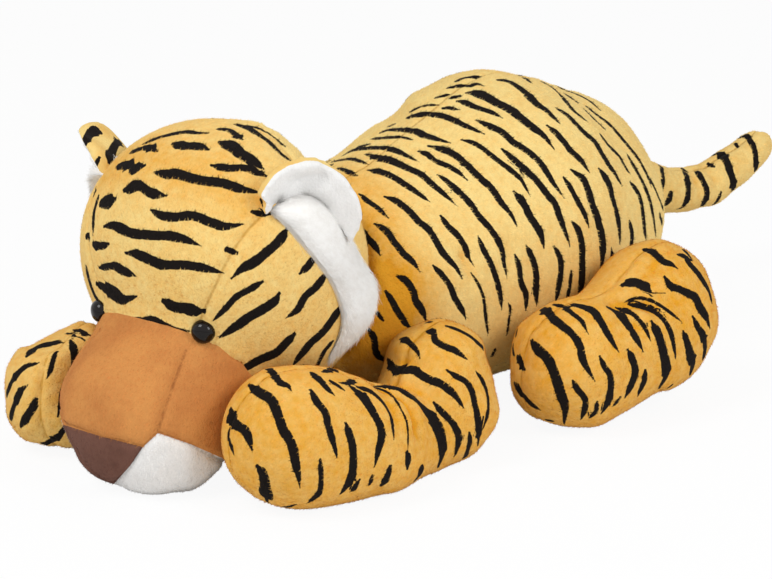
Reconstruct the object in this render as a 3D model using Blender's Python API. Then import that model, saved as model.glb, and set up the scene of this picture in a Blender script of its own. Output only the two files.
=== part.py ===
"""A plush tiger that lies on its belly, with its chin on the floor between its front paws.

Metres, +Z up. The tiger faces -Y and its left side is +X. The origin lies on the floor, at the
middle of the flat underside of the belly. Every stuffed part is a fabric skin of sewn panels
around a core of stuffing. The head, both ears, the four legs and the tail are sewn on and move.
"""

import math

import bmesh
import bpy
from mathutils import Matrix, Vector

for old_object in list(bpy.data.objects):
    bpy.data.objects.remove(old_object, do_unlink=True)

# Fabric, seams and gaps
FABRIC_THICKNESS = 0.0025
SEAM_GAP = 0.0004
STUFFING_GAP = 0.0009
SEAT_GAP = 0.0005
MUZZLE_SEAT_GAP = 0.0009
PAW_TO_MUZZLE_GAP = 0.0024
SOCKET_GAP = 0.0014
MERGE_DISTANCE = 0.000001

# Torso: a bolster from the rump (+Y) to the neck (-Y), flat underneath
RUMP_BACK = 0.204
NECK_FORWARD = 0.115
TORSO_HALF_WIDTH = 0.089
TORSO_HALF_HEIGHT = 0.0885
TORSO_SINK = 0.0058
RUMP_HEIGHT = 0.068
NECK_HEIGHT = 0.064
TORSO_REAR_CAP = 0.095
TORSO_FRONT_CAP = 0.055
TORSO_STATION_SHARES = (0.0, 0.18, 0.41, 0.70, 1.0)
TORSO_SIZE_SHARES = (0.93, 1.005, 0.95, 0.845, 0.765)
BELLY_PANEL_ANGLE = math.radians(90)
TORSO_STUFFING_GAP = 0.0018

# Head: a ball about its nod axis, with a flatter face
HEAD_RADIUS = 0.078
HEAD_HALF_WIDTH = 0.080
HEAD_FORWARD = 0.143
HEAD_HEIGHT = 0.107
HEAD_TURN = math.radians(4)
HEAD_ROUNDNESS_SHARE = 0.90
FACE_FLAT_SHARE = 0.14
FACE_ANGLE = math.radians(-22)
FACE_SPREAD = 3
FOREHEAD_HALF_WIDTH_AT_EYES = 0.032
FOREHEAD_HALF_WIDTH_AT_EARS = 0.052
BROW_SEAM_ANGLE = math.radians(-32)
CROWN_SEAM_ANGLE = math.radians(104)
NECK_SEAM_ANGLE = math.radians(205)
THROAT_SEAM_ANGLE = math.radians(283)

# Muzzle: a bolster from the middle of the head, forward and down to the nose
MUZZLE_ROOT_FORWARD = 0.012
MUZZLE_ROOT_DROP = 0.036
MUZZLE_TIP_FORWARD = 0.103
MUZZLE_TIP_DROP = 0.088
MUZZLE_CAP = 0.034
MUZZLE_HALF_WIDTH = 0.050
MUZZLE_HALF_HEIGHT = 0.043
MUZZLE_TIP_SHARE = 0.92
MUZZLE_BOXINESS_SHARE = 0.82
MUZZLE_STUFFING_GAP = 0.0016
MUZZLE_TOP_FRONT_ANGLE = math.radians(34)
MUZZLE_TOP_REAR_ANGLE = math.radians(58)
CHIN_FRONT_ANGLE = math.radians(27)
CHIN_REAR_ANGLE = math.radians(-62)
NOSE_CAP_SHARE = 0.52
CHIN_SLOPE = 1.6

# Eyes: a domed cap on a stem that a washer holds inside the cheek
EYE_RADIUS = 0.008
EYE_DOME = 0.0062
EYE_RIM = 0.0016
EYE_STEM_RADIUS = 0.0019
EYE_STEM_LENGTH = 0.011
EYE_HOLE_CLEARANCE = 0.0005
WASHER_RADIUS = 0.007
WASHER_THICKNESS = 0.0015
EYE_AROUND_ANGLE = math.radians(-15)
EYE_OUT = 0.040

# Ears: a cupped back of striped plush with a white lining
EAR_HALF_WIDTH = 0.027
EAR_LENGTH = 0.032
EAR_CURL = 0.013
EAR_LINING_THICKNESS = 0.004
EAR_SEAT_GAP = 0.0006
EAR_SWING_ANGLE = math.radians(15)
EAR_FRONT_RISE_ANGLE = math.radians(48)
EAR_FRONT_BACK_ANGLE = math.radians(-23)
EAR_REAR_RISE_ANGLE = math.radians(28)
EAR_REAR_BACK_ANGLE = math.radians(11)
EAR_OUT_SHARE = 0.30
RIGHT_EAR_OUT_SHARE = 0.50
RIGHT_EAR_DROP_ANGLE = math.radians(8)
EAR_FORWARD_SHARE = 0.28

# Ruff: a crescent of long fur on the rear half of each cheek
RUFF_DEPTH = 0.009
RUFF_RIM = 0.0015
RUFF_SEAT_GAP = 0.0009
RUFF_WIDTH = 0.036
RUFF_WIDTH_SHARES = (0.5, 0.6, 1.0, 0.9, 0.45)
RUFF_RISE_ANGLES = [math.radians(angle) for angle in (28, 16, 2, -14, -29)]
RUFF_BACK_ANGLES = [math.radians(angle) for angle in (-15, -12, 3, 9, 2)]
RUFF_PRESSED_SHARE = 0.75

# Legs: bolsters that lie on the floor, places given forward of and out from the origin
LEG_RADIUS = 0.0395
LEG_SINK = 0.003
KNEE_PRESS = 0.0003
ELBOW_PRESS = 0.0008
ELBOW_RADIUS = 0.035
ELBOW_RAISE = 0.006
ELBOW_FORWARD = 0.079
CREASE_RADIUS = 0.0265
CREASE_OUT = 0.097
CREASE_FORWARD = 0.110
FOREARM_RADIUS = 0.0335
FOREARM_OUT = 0.101
FOREARM_FORWARD = 0.145
PAW_OUT = 0.087
PAW_FORWARD = 0.181
RIGHT_ELBOW_FORWARD = 0.110
RIGHT_PAW_REACH = 0.017
RIGHT_PAW_TUCK = 0.020
RIGHT_ELBOW_RADIUS = 0.029
RIGHT_FOREARM_RADIUS = 0.029
RIGHT_ELBOW_PRESS = 0.0007
KNEE_RAISE = 0.015
KNEE_FORWARD = -0.078
SHIN_RADIUS = 0.0345
SHIN_OUT = 0.126
SHIN_FORWARD = -0.036
FOOT_OUT = 0.120
FOOT_FORWARD = -0.014

# Tail
TAIL_RADIUS = 0.0132
TAIL_ROOT_RADIUS = 0.0162
TAIL_RAISE = 0.010
TAIL_SEAM_RADIUS = 0.003
TAIL_BEND_BACK = 0.040
TAIL_BEND_DROP = 0.014
TAIL_MIDDLE_BACK = 0.078
TAIL_MIDDLE_DROP = 0.012
TAIL_TIP_BACK = 0.120
TAIL_TIP_DROP = -0.006

# Facet counts
AROUND_STEPS = 24
TORSO_FACET_ANGLE = math.radians(15)
HEAD_STEPS = 32
CAP_STEPS = 4
PANEL_STEPS = 6
LEG_PANEL_STEPS = 8
TAIL_PANEL_STEPS = 6
EAR_STEPS = 8
EYE_STEPS = 16
RUFF_ROWS = 12
FOREHEAD_ROWS = 12
HEAD_BACK_ROWS = 10
THROAT_ROWS = 8
MUZZLE_ROWS = 10
MUZZLE_TOP_STEPS = 8
MUZZLE_SIDE_STEPS = 6
MUZZLE_CHIN_STEPS = 12
MUZZLE_CORE_ROWS = 9
MUZZLE_CORE_END_ROWS = 3
TORSO_END_ROWS = 5
TORSO_SOCKET_ROWS = 6
SEARCH_STEPS = 24

UP = Vector((0, 0, 1))
LEFT = Vector((1, 0, 0))
TAILWARD = Vector((0, 1, 0))
QUARTER_TURN = math.radians(90)
HALF_TURN = math.radians(180)
FULL_TURN = math.radians(360)
SPINE_STEP = 0.05
SEAT_ROWS = 48
SIDES = (("left", 1), ("right", -1))

materials = {}


def material(name, colour, roughness):
    """Give the material of this name, made the first time that it is asked for."""
    if name not in materials:
        made = bpy.data.materials.new(name)
        made.use_nodes = True
        shader = made.node_tree.nodes["Principled BSDF"]
        shader.inputs["Base Color"].default_value = (*colour, 1)
        shader.inputs["Roughness"].default_value = roughness
        shader.inputs["Metallic"].default_value = 0
        made.diffuse_color = (*colour, 1)
        materials[name] = made
    return materials[name]


STRIPED_PLUSH = material("striped_plush", (0.85, 0.55, 0.16), 0.9)
BROWN_PLUSH = material("brown_plush", (0.55, 0.22, 0.07), 0.9)
NOSE_PLUSH = material("nose_plush", (0.13, 0.06, 0.045), 0.9)
WHITE_PLUSH = material("white_plush", (0.83, 0.83, 0.82), 0.9)
WHITE_FUR = material("white_fur", (0.86, 0.86, 0.85), 0.95)
STUFFING = material("stuffing", (0.9, 0.9, 0.88), 1.0)
EYE_PLASTIC = material("eye_plastic", (0.005, 0.005, 0.005), 0.1)
WASHER_PLASTIC = material("washer_plastic", (0.8, 0.8, 0.8), 0.4)


def spline(values, place):
    """Read a smooth curve through values; place 1.5 is half way from the second to the third."""
    last = len(values) - 1
    index = min(max(int(place), 0), last - 1)
    share = place - index
    before = values[max(index - 1, 0)]
    start = values[index]
    end = values[index + 1]
    after = values[min(index + 2, last)]
    start_slope = (end - before) / 2
    end_slope = (after - start) / 2
    square = share * share
    cube = square * share
    return (start * (2 * cube - 3 * square + 1) + start_slope * (cube - 2 * square + share)
            + end * (3 * square - 2 * cube) + end_slope * (cube - square))


def squared(share, roundness):
    """Give a share of an oval's reach, where a roundness under 1 makes the oval boxier."""
    return math.copysign(abs(share) ** roundness, share)


class Bolster:
    """A stuffed tube with a pole at each end.

    A place from 0 to the number of its last station lies on its length. Places from -1 to 0, and
    one past the last station, lie on its round ends. An angle of 0 is sideways, and 90 degrees up.
    """

    def __init__(self, centres, half_widths, half_heights, first_pole, last_pole, roundness=1):
        self.centres = centres
        self.roundness = roundness
        self.half_widths = half_widths
        self.half_heights = half_heights
        self.poles = (first_pole, last_pole)
        self.last = len(centres) - 1

    def directions(self, place):
        """Give the sideways and upward directions of the section at a place."""
        ahead = spline(self.centres, min(place + SPINE_STEP, self.last))
        behind = spline(self.centres, max(place - SPINE_STEP, 0))
        along = (ahead - behind).normalized()
        sideways = UP.cross(along).normalized()
        return sideways, along.cross(sideways)

    def point(self, place, angle, depth=0, aside=0):
        """Give the point at a depth under the skin, shifted sideways by aside."""
        on_length = min(max(place, 0), self.last)
        centre = spline(self.centres, on_length)
        half_width = spline(self.half_widths, on_length) - depth
        half_height = spline(self.half_heights, on_length) - depth
        sideways, upward = self.directions(on_length)
        if place != on_length:
            pole = self.poles[0] if place < 0 else self.poles[1]
            reach = pole - centre
            turn = abs(place - on_length) * QUARTER_TURN
            centre = centre + reach * (1 - depth / reach.length) * math.sin(turn)
            half_width = half_width * math.cos(turn)
            half_height = half_height * math.cos(turn)
        across = half_width * squared(math.cos(angle), self.roundness)
        above = half_height * squared(math.sin(angle), self.roundness)
        spot = centre + sideways * (across + aside) + upward * above
        return Vector((spot.x, spot.y, max(spot.z, depth)))

    def places(self, steps_between=2):
        """List the places of the rings, from pole to pole."""
        ends = [step / CAP_STEPS for step in range(1, CAP_STEPS + 1)]
        run = [step / steps_between for step in range(self.last * steps_between + 1)]
        return [-share for share in reversed(ends)] + run + [self.last + share for share in ends]


def add_piece(name, mesh_data, finish, parent=None, origin=None):
    """Make an object from world-space mesh data, with its origin on its joint or at the world's."""
    place = origin or Vector()
    for vertex in mesh_data.verts:
        vertex.co = vertex.co - place
    bmesh.ops.remove_doubles(mesh_data, verts=mesh_data.verts, dist=MERGE_DISTANCE)
    bmesh.ops.recalc_face_normals(mesh_data, faces=mesh_data.faces)
    mesh = bpy.data.meshes.new(name)
    mesh_data.to_mesh(mesh)
    mesh_data.free()
    mesh.shade_smooth()
    mesh.materials.append(finish)
    piece = bpy.data.objects.new(name, mesh)
    piece.location = place
    bpy.context.scene.collection.objects.link(piece)
    if parent:
        piece.parent = parent
        piece.location = (0, 0, 0)
    return piece


def add_faces(mesh_data, rows, closed):
    """Join rows of vertices with faces, around in a ring when closed."""
    columns = len(rows[0])
    for row, next_row in zip(rows, rows[1:]):
        for column in range(columns if closed else columns - 1):
            ahead = (column + 1) % columns
            corners = [row[column], row[ahead], next_row[ahead], next_row[column]]
            mesh_data.faces.new(corners)


def shell(point, row_count, column_count, thickness, closed=False):
    """Make a fabric panel: point(row share, column share, depth) gives both its faces."""
    mesh_data = bmesh.new()
    columns = column_count if closed else column_count + 1
    layers = []
    for depth in (0, thickness):
        layers.append([[mesh_data.verts.new(point(row / row_count, column / column_count, depth))
                        for column in range(columns)] for row in range(row_count + 1)])
    outer, inner = layers
    add_faces(mesh_data, outer, closed)
    add_faces(mesh_data, inner, closed)
    for row in (0, -1):
        add_faces(mesh_data, [outer[row], inner[row]], closed)
    if not closed:
        for column in (0, -1):
            add_faces(mesh_data, [[row[column] for row in outer], [row[column] for row in inner]], False)
    return clean(mesh_data)


def closed_form(point, row_count, column_count):
    """Make a solid from a skin whose first and last rows are poles."""
    mesh_data = bmesh.new()
    rows = [[mesh_data.verts.new(point(row / row_count, column / column_count))
             for column in range(column_count)] for row in range(row_count + 1)]
    add_faces(mesh_data, rows, True)
    return clean(mesh_data)


def clean(mesh_data):
    """Merge the vertices that meet at a pole, and drop the faces that this closes up."""
    bmesh.ops.remove_doubles(mesh_data, verts=mesh_data.verts, dist=MERGE_DISTANCE)
    bmesh.ops.dissolve_degenerate(mesh_data, edges=mesh_data.edges, dist=MERGE_DISTANCE)
    return mesh_data


def read_places(places, share):
    """Read a list of places at a share of its length."""
    position = share * (len(places) - 1)
    index = min(int(position), len(places) - 2)
    return places[index] + (places[index + 1] - places[index]) * (position - index)


def mix(start, end, share):
    """Give the value at a share of the way from start to end."""
    return start + (end - start) * share


# The head's own frame: its centre, and its turn to the left
HEAD_CENTRE = Vector((0, -HEAD_FORWARD, HEAD_HEIGHT))
HEAD_FRAME = Matrix.Translation(HEAD_CENTRE) @ Matrix.Rotation(HEAD_TURN, 4, "Z")
HEAD_FRAME_BACK = HEAD_FRAME.inverted()
TORSO_STATIONS = [mix(RUMP_BACK - TORSO_REAR_CAP, TORSO_FRONT_CAP - NECK_FORWARD, share)
                  for share in TORSO_STATION_SHARES]
TORSO_HEIGHTS = [TORSO_HALF_HEIGHT * share for share in TORSO_SIZE_SHARES]
TORSO = Bolster(
    [Vector((0, back, height - TORSO_SINK)) for back, height in zip(TORSO_STATIONS, TORSO_HEIGHTS)],
    [TORSO_HALF_WIDTH * share for share in TORSO_SIZE_SHARES],
    TORSO_HEIGHTS,
    Vector((0, RUMP_BACK, RUMP_HEIGHT)),
    Vector((0, -NECK_FORWARD, NECK_HEIGHT)),
)


def face_share(around):
    """Give how far the head reaches in a direction around its nod axis, where 1 is the ball."""
    toward_face = max(math.cos(around - FACE_ANGLE), 0)
    return 1 - FACE_FLAT_SHARE * toward_face ** FACE_SPREAD


def side_angle(distance):
    """Give the angle out from the head's middle at which its skin is this far from the middle."""
    share = min(max(distance / HEAD_HALF_WIDTH, 0), 1)
    return math.asin(share ** (1 / HEAD_ROUNDNESS_SHARE))


def head_point(around, aside, depth=0):
    """Give a point of the head, around its nod axis from the face up, and aside to its left."""
    sideways = abs(math.sin(aside)) ** HEAD_ROUNDNESS_SHARE
    section = max(math.cos(aside), 0) ** HEAD_ROUNDNESS_SHARE
    radius = (HEAD_RADIUS - depth) * face_share(around) * section
    reach = math.copysign((HEAD_HALF_WIDTH - depth) * sideways, aside)
    return HEAD_FRAME @ Vector((reach, -radius * math.cos(around), radius * math.sin(around)))


def head_toward(rise, back, side, gap):
    """Give the point over the head's side in a direction that rises and leans back from it."""
    level = math.cos(back)
    direction = Vector((math.cos(rise) * level * side, math.sin(back), math.sin(rise) * level))
    return HEAD_FRAME @ (direction * (1 / head_size(direction) + gap))


def head_size(local):
    """Give how large a head about the same centre would reach a point of the head's frame."""
    around = math.atan2(local.z, -local.y)
    radius = math.hypot(local.y, local.z) / (HEAD_RADIUS * face_share(around))
    sideways = abs(local.x) / HEAD_HALF_WIDTH
    power = 2 / HEAD_ROUNDNESS_SHARE
    return (radius ** power + sideways ** power) ** (1 / power)


def head_clearance(spot):
    """Give how far a point lies outside the head, along the line from the head's centre."""
    local = HEAD_FRAME_BACK @ spot
    size = head_size(local)
    return local.length * (1 - 1 / size) if size > 0 else -HEAD_RADIUS


def outside_head(spot, gap):
    """Push a point straight out from the head's centre until it clears the head."""
    clearance = head_clearance(spot)
    if clearance >= gap:
        return spot
    return spot + (spot - HEAD_CENTRE).normalized() * (gap - clearance)


def outside_muzzle(spot, gap):
    """Push a point sideways until it clears the muzzle."""
    root, along, length = muzzle_axis()
    sideways = UP.cross(along).normalized()
    upward = along.cross(sideways)
    offset = spot - root
    past = max(offset.dot(along) - (length - MUZZLE_CAP), 0) / (MUZZLE_CAP + gap)
    if past >= 1 or offset.dot(along) < 0:
        return spot
    shrink = math.sqrt(1 - past * past)
    height = abs(offset.dot(upward)) / ((MUZZLE_HALF_HEIGHT + gap) * shrink)
    if height >= 1:
        return spot
    power = 2 / MUZZLE_BOXINESS_SHARE
    reach = (MUZZLE_HALF_WIDTH + gap) * shrink * (1 - height ** power) ** (1 / power)
    beside = offset.dot(sideways)
    if abs(beside) >= reach:
        return spot
    return spot + sideways * math.copysign(reach - abs(beside), beside)


def muzzle_axis():
    """Give the muzzle's root in the head, its direction and its length to the tip."""
    root = HEAD_FRAME @ Vector((0, -MUZZLE_ROOT_FORWARD, -MUZZLE_ROOT_DROP))
    tip = HEAD_FRAME @ Vector((0, -MUZZLE_TIP_FORWARD, -MUZZLE_TIP_DROP))
    return root, (tip - root).normalized(), (tip - root).length


def place_at_head(bolster, start, end, angle, depth, gap):
    """Find the place where a line along a bolster meets the head."""
    low = start
    high = end
    for _ in range(SEARCH_STEPS):
        middle = (low + high) / 2
        if head_clearance(bolster.point(middle, angle, depth)) > gap:
            low = middle
        else:
            high = middle
    return low


def add_empty(name, place):
    """Mark a joint; the pieces that turn about it hang from it."""
    empty = bpy.data.objects.new(name, None)
    empty.location = place
    bpy.context.scene.collection.objects.link(empty)
    return empty


def band_half_angle(around):
    """Give the side angle of the seam between the middle panels and the cheeks."""
    away = min(1 - math.cos(around - FACE_ANGLE), 1)
    return side_angle(mix(FOREHEAD_HALF_WIDTH_AT_EYES, FOREHEAD_HALF_WIDTH_AT_EARS, away))


def make_head(pivot):
    """Make the panels of the head around its core."""
    seam = SEAM_GAP / HEAD_RADIUS

    def middle_panel(name, start, end, steps):
        def point(row, column, depth):
            around = mix(start + seam / 2, end - seam / 2, row)
            edge = band_half_angle(around)
            return head_point(around, mix(-edge, edge, column), depth)
        skin = shell(point, steps, PANEL_STEPS, FABRIC_THICKNESS)
        add_piece(name, skin, STRIPED_PLUSH, pivot, HEAD_CENTRE)

    middle_panel("forehead_panel", BROW_SEAM_ANGLE, CROWN_SEAM_ANGLE, FOREHEAD_ROWS)
    middle_panel("head_back_panel", CROWN_SEAM_ANGLE, NECK_SEAM_ANGLE, HEAD_BACK_ROWS)
    middle_panel("throat_panel", NECK_SEAM_ANGLE, THROAT_SEAM_ANGLE, THROAT_ROWS)

    for side_name, side in SIDES:
        def cheek_point(row, column, depth):
            around = column * FULL_TURN
            aside = mix(band_half_angle(around) + seam, QUARTER_TURN, row)
            return head_point(around, side * aside, depth)
        cheek = add_piece("cheek_panel_" + side_name,
                          shell(cheek_point, PANEL_STEPS, HEAD_STEPS, FABRIC_THICKNESS, closed=True),
                          STRIPED_PLUSH, pivot, HEAD_CENTRE)
        hole = add_cutter("eye_hole_" + side_name, side, EYE_STEM_RADIUS + EYE_HOLE_CLEARANCE)
        cut(cheek, hole)

    def core_point(row, column):
        aside = mix(-QUARTER_TURN, QUARTER_TURN, row)
        return head_point(column * FULL_TURN, aside, FABRIC_THICKNESS + STUFFING_GAP)

    core = add_piece("head_stuffing", closed_form(core_point, HEAD_STEPS // 2, HEAD_STEPS), STUFFING, pivot,
                     HEAD_CENTRE)
    for side_name, side in SIDES:
        cut(core, add_cutter("washer_pocket_" + side_name, side, WASHER_RADIUS + EYE_HOLE_CLEARANCE))


def eye_frame(side):
    """Give the frame of an eye: its origin on the cheek's skin and Z straight out."""
    aside = side * side_angle(EYE_OUT)
    here = head_point(EYE_AROUND_ANGLE, aside)
    above = head_point(EYE_AROUND_ANGLE + SPINE_STEP, aside)
    beside = head_point(EYE_AROUND_ANGLE, aside + SPINE_STEP)
    outward = (above - here).cross(beside - here).normalized()
    if outward.dot(here - HEAD_CENTRE) < 0:
        outward = -outward
    return Matrix.Translation(here) @ outward.to_track_quat("Z", "Y").to_matrix().to_4x4()


def turned(profile, frame):
    """Turn a profile of (radius, height) pairs about the frame's Z axis, from pole to pole."""
    mesh_data = bmesh.new()
    rows = []
    for radius, height in profile:
        row = []
        for step in range(EYE_STEPS):
            angle = FULL_TURN * step / EYE_STEPS
            spot = Vector((radius * math.cos(angle), radius * math.sin(angle), height))
            row.append(mesh_data.verts.new(frame @ spot))
        rows.append(row)
    add_faces(mesh_data, rows, True)
    return clean(mesh_data)


def add_cutter(name, side, radius):
    """Make the wire cylinder that cuts the room for an eye's stem or its washer."""
    low = -EYE_STEM_LENGTH - EYE_HOLE_CLEARANCE
    high = EYE_DOME
    profile = ((0, low), (radius, low), (radius, high), (0, high))
    cutter = add_piece(name, turned(profile, eye_frame(side)), STUFFING)
    cutter.hide_render = True
    cutter.display_type = "WIRE"
    return cutter


def cut(piece, cutter):
    """Cut a piece by a cutter."""
    boolean = piece.modifiers.new(cutter.name, "BOOLEAN")
    boolean.operation = "DIFFERENCE"
    boolean.object = cutter


def make_eyes(pivot):
    """Make each eye's cap on its stem, and the washer that holds it inside the head."""
    for side_name, side in SIDES:
        frame = eye_frame(side)
        profile = [(0, -EYE_STEM_LENGTH), (EYE_STEM_RADIUS, -EYE_STEM_LENGTH), (EYE_STEM_RADIUS, SEAT_GAP),
                   (EYE_RADIUS, SEAT_GAP)]
        for step in range(CAP_STEPS + 1):
            turn = step / CAP_STEPS * QUARTER_TURN
            height = SEAT_GAP + EYE_RIM + (EYE_DOME - EYE_RIM) * math.sin(turn)
            profile.append((EYE_RADIUS * math.cos(turn), height))
        profile[-1] = (0, SEAT_GAP + EYE_DOME)
        add_piece("eye_" + side_name, turned(profile, frame), EYE_PLASTIC, pivot, HEAD_CENTRE)
        top = -FABRIC_THICKNESS - 2 * SEAT_GAP
        bottom = top - WASHER_THICKNESS
        bore = EYE_STEM_RADIUS + EYE_HOLE_CLEARANCE
        ring = ((bore, bottom), (WASHER_RADIUS, bottom), (WASHER_RADIUS, top), (bore, top), (bore, bottom))
        add_piece("eye_washer_" + side_name, turned(ring, frame), WASHER_PLASTIC, pivot, HEAD_CENTRE)


def make_muzzle(pivot):
    """Make the muzzle's panels, which end at the face, and its stuffing."""
    root, along, length = muzzle_axis()
    tip = root + along * length
    end = tip - along * MUZZLE_CAP
    muzzle = Bolster(
        [root, (root + end) / 2, end],
        [MUZZLE_HALF_WIDTH, MUZZLE_HALF_WIDTH, MUZZLE_HALF_WIDTH * MUZZLE_TIP_SHARE],
        [MUZZLE_HALF_HEIGHT, MUZZLE_HALF_HEIGHT, MUZZLE_HALF_HEIGHT * MUZZLE_TIP_SHARE],
        root - along * MUZZLE_CAP,
        tip,
        MUZZLE_BOXINESS_SHARE,
    )
    nose_place = muzzle.last + NOSE_CAP_SHARE
    seam_place = SEAM_GAP / (MUZZLE_CAP * QUARTER_TURN)
    seam_angle = SEAM_GAP / (MUZZLE_HALF_WIDTH * math.cos(NOSE_CAP_SHARE * QUARTER_TURN))

    def nose_point(row, column, depth):
        return muzzle.point(mix(muzzle.last + 1, nose_place + seam_place, row), column * FULL_TURN, depth)

    nose = shell(nose_point, CAP_STEPS, AROUND_STEPS, FABRIC_THICKNESS, closed=True)
    add_piece("nose_panel", nose, NOSE_PLUSH, pivot, HEAD_CENTRE)

    def chin_angle(row):
        return mix(CHIN_FRONT_ANGLE, CHIN_REAR_ANGLE, min(row * CHIN_SLOPE, 1))

    def panel(name, start, end, steps, finish):
        def point(row, column, depth):
            angle = mix(start(row) + seam_angle / 2, end(row) - seam_angle / 2, column)
            rear = place_at_head(muzzle, muzzle.last, 0, angle, depth, MUZZLE_SEAT_GAP)
            return muzzle.point(mix(nose_place, rear, row), angle, depth)
        add_piece(name, shell(point, MUZZLE_ROWS, steps, FABRIC_THICKNESS), finish, pivot, HEAD_CENTRE)

    def top_left(row):
        return mix(MUZZLE_TOP_FRONT_ANGLE, MUZZLE_TOP_REAR_ANGLE, row)

    def top_right(row):
        return HALF_TURN - top_left(row)

    def chin_left(row):
        return FULL_TURN + chin_angle(row)

    def chin_right(row):
        return HALF_TURN - chin_angle(row)

    panel("muzzle_top_panel", top_left, top_right, MUZZLE_TOP_STEPS, BROWN_PLUSH)
    panel("muzzle_side_left", chin_angle, top_left, MUZZLE_SIDE_STEPS, BROWN_PLUSH)
    panel("muzzle_side_right", top_right, chin_right, MUZZLE_SIDE_STEPS, BROWN_PLUSH)
    panel("chin_panel", chin_right, chin_left, MUZZLE_CHIN_STEPS, WHITE_PLUSH)

    depth = FABRIC_THICKNESS + MUZZLE_STUFFING_GAP
    total = CAP_STEPS + MUZZLE_CORE_ROWS + MUZZLE_CORE_END_ROWS

    def core_point(row, column):
        step = row * total
        angle = column * FULL_TURN
        if step <= CAP_STEPS:
            return muzzle.point(muzzle.last + 1 - step / CAP_STEPS, angle, depth)
        rear = place_at_head(muzzle, muzzle.last, 0, angle, depth, MUZZLE_SEAT_GAP)
        share = min((step - CAP_STEPS) / MUZZLE_CORE_ROWS, 1)
        ring = muzzle.point(mix(muzzle.last, rear, share), angle, depth)
        inward = max(step - CAP_STEPS - MUZZLE_CORE_ROWS, 0) / MUZZLE_CORE_END_ROWS
        return outside_head(mix(ring, root, inward), MUZZLE_SEAT_GAP)

    add_piece("muzzle_stuffing", closed_form(core_point, total, AROUND_STEPS), STUFFING, pivot, HEAD_CENTRE)


def make_ears():
    """Make each ear: a cupped striped back and a white lining, seated on the head."""
    for side_name, side in SIDES:
        frame, origin = ear_frame(side)
        pivot = add_empty("ear_" + side_name + "_joint", origin)

        def ear_point(row, column, offset):
            rise = math.sin(row * QUARTER_TURN)
            spread = math.cos(row * QUARTER_TURN) * mix(-1, 1, column)
            across = EAR_HALF_WIDTH * spread
            forward = EAR_CURL * spread * spread + offset
            swing_gap = abs(forward - EAR_CURL / 2) * math.tan(EAR_SWING_ANGLE)
            base = ear_base(frame, across, forward, EAR_SEAT_GAP + swing_gap)
            return frame @ Vector((across, forward, mix(base, EAR_LENGTH, rise)))

        def back_point(row, column, depth):
            return ear_point(row, column, -depth)

        def lining_point(row, column, depth):
            return ear_point(row, column, SEAM_GAP + depth)

        back = shell(back_point, PANEL_STEPS, EAR_STEPS, FABRIC_THICKNESS)
        lining = shell(lining_point, PANEL_STEPS, EAR_STEPS, EAR_LINING_THICKNESS)
        add_piece("ear_back_" + side_name, back, STRIPED_PLUSH, pivot, origin)
        add_piece("ear_lining_" + side_name, lining, WHITE_PLUSH, pivot, origin)


def ear_base(frame, across, forward, gap):
    """Give the height in an ear's frame at which it is this far from the head."""
    low = -EAR_LENGTH
    high = EAR_LENGTH
    for _ in range(SEARCH_STEPS):
        middle = (low + high) / 2
        if head_clearance(frame @ Vector((across, forward, middle))) < gap:
            low = middle
        else:
            high = middle
    return high


def ear_frame(side):
    """Give an ear's frame (X along its seam to the rear, Y to its hollow side) and its joint's place."""
    drop = RIGHT_EAR_DROP_ANGLE if side < 0 else 0
    out_share = RIGHT_EAR_OUT_SHARE if side < 0 else EAR_OUT_SHARE
    front = head_toward(EAR_FRONT_RISE_ANGLE - drop, EAR_FRONT_BACK_ANGLE, side, 0)
    rear = head_toward(EAR_REAR_RISE_ANGLE - drop, EAR_REAR_BACK_ANGLE, side, 0)
    across = (rear - front).normalized()
    upward = Vector((out_share * side, -EAR_FORWARD_SHARE, 1)).normalized()
    upward = (upward - across * upward.dot(across)).normalized()
    hollow = across.cross(upward) * side
    frame = Matrix((across, hollow, upward)).transposed().to_4x4()
    frame.translation = (front + rear) / 2
    return frame, frame @ Vector((0, EAR_CURL / 2, ear_base(frame, 0, EAR_CURL / 2, 0)))


def make_ruffs(pivot):
    """Make the crescent of long fur on the rear of each cheek."""
    for side_name, side in SIDES:
        def ruff_point(row, column, depth):
            station = row * (len(RUFF_WIDTH_SHARES) - 1)
            half_width = RUFF_WIDTH / 2 * spline(RUFF_WIDTH_SHARES, station)
            spread = half_width / HEAD_HALF_WIDTH * mix(-1, 1, column)
            rise = spline(RUFF_RISE_ANGLES, station)
            if side < 0:
                rise -= RIGHT_EAR_DROP_ANGLE * (1 - row)
            back = spline(RUFF_BACK_ANGLES, station) + spread
            fullness = math.sin(column * HALF_TURN) * math.sin(row * HALF_TURN)
            height = mix(RUFF_RIM, RUFF_DEPTH, max(fullness, 0))
            return head_toward(rise, back, side, RUFF_SEAT_GAP + height * (1 - depth / RUFF_DEPTH))
        ruff = shell(ruff_point, RUFF_ROWS, PANEL_STEPS, RUFF_DEPTH)
        add_piece("cheek_ruff_" + side_name, ruff, WHITE_FUR, pivot, HEAD_CENTRE)


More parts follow.
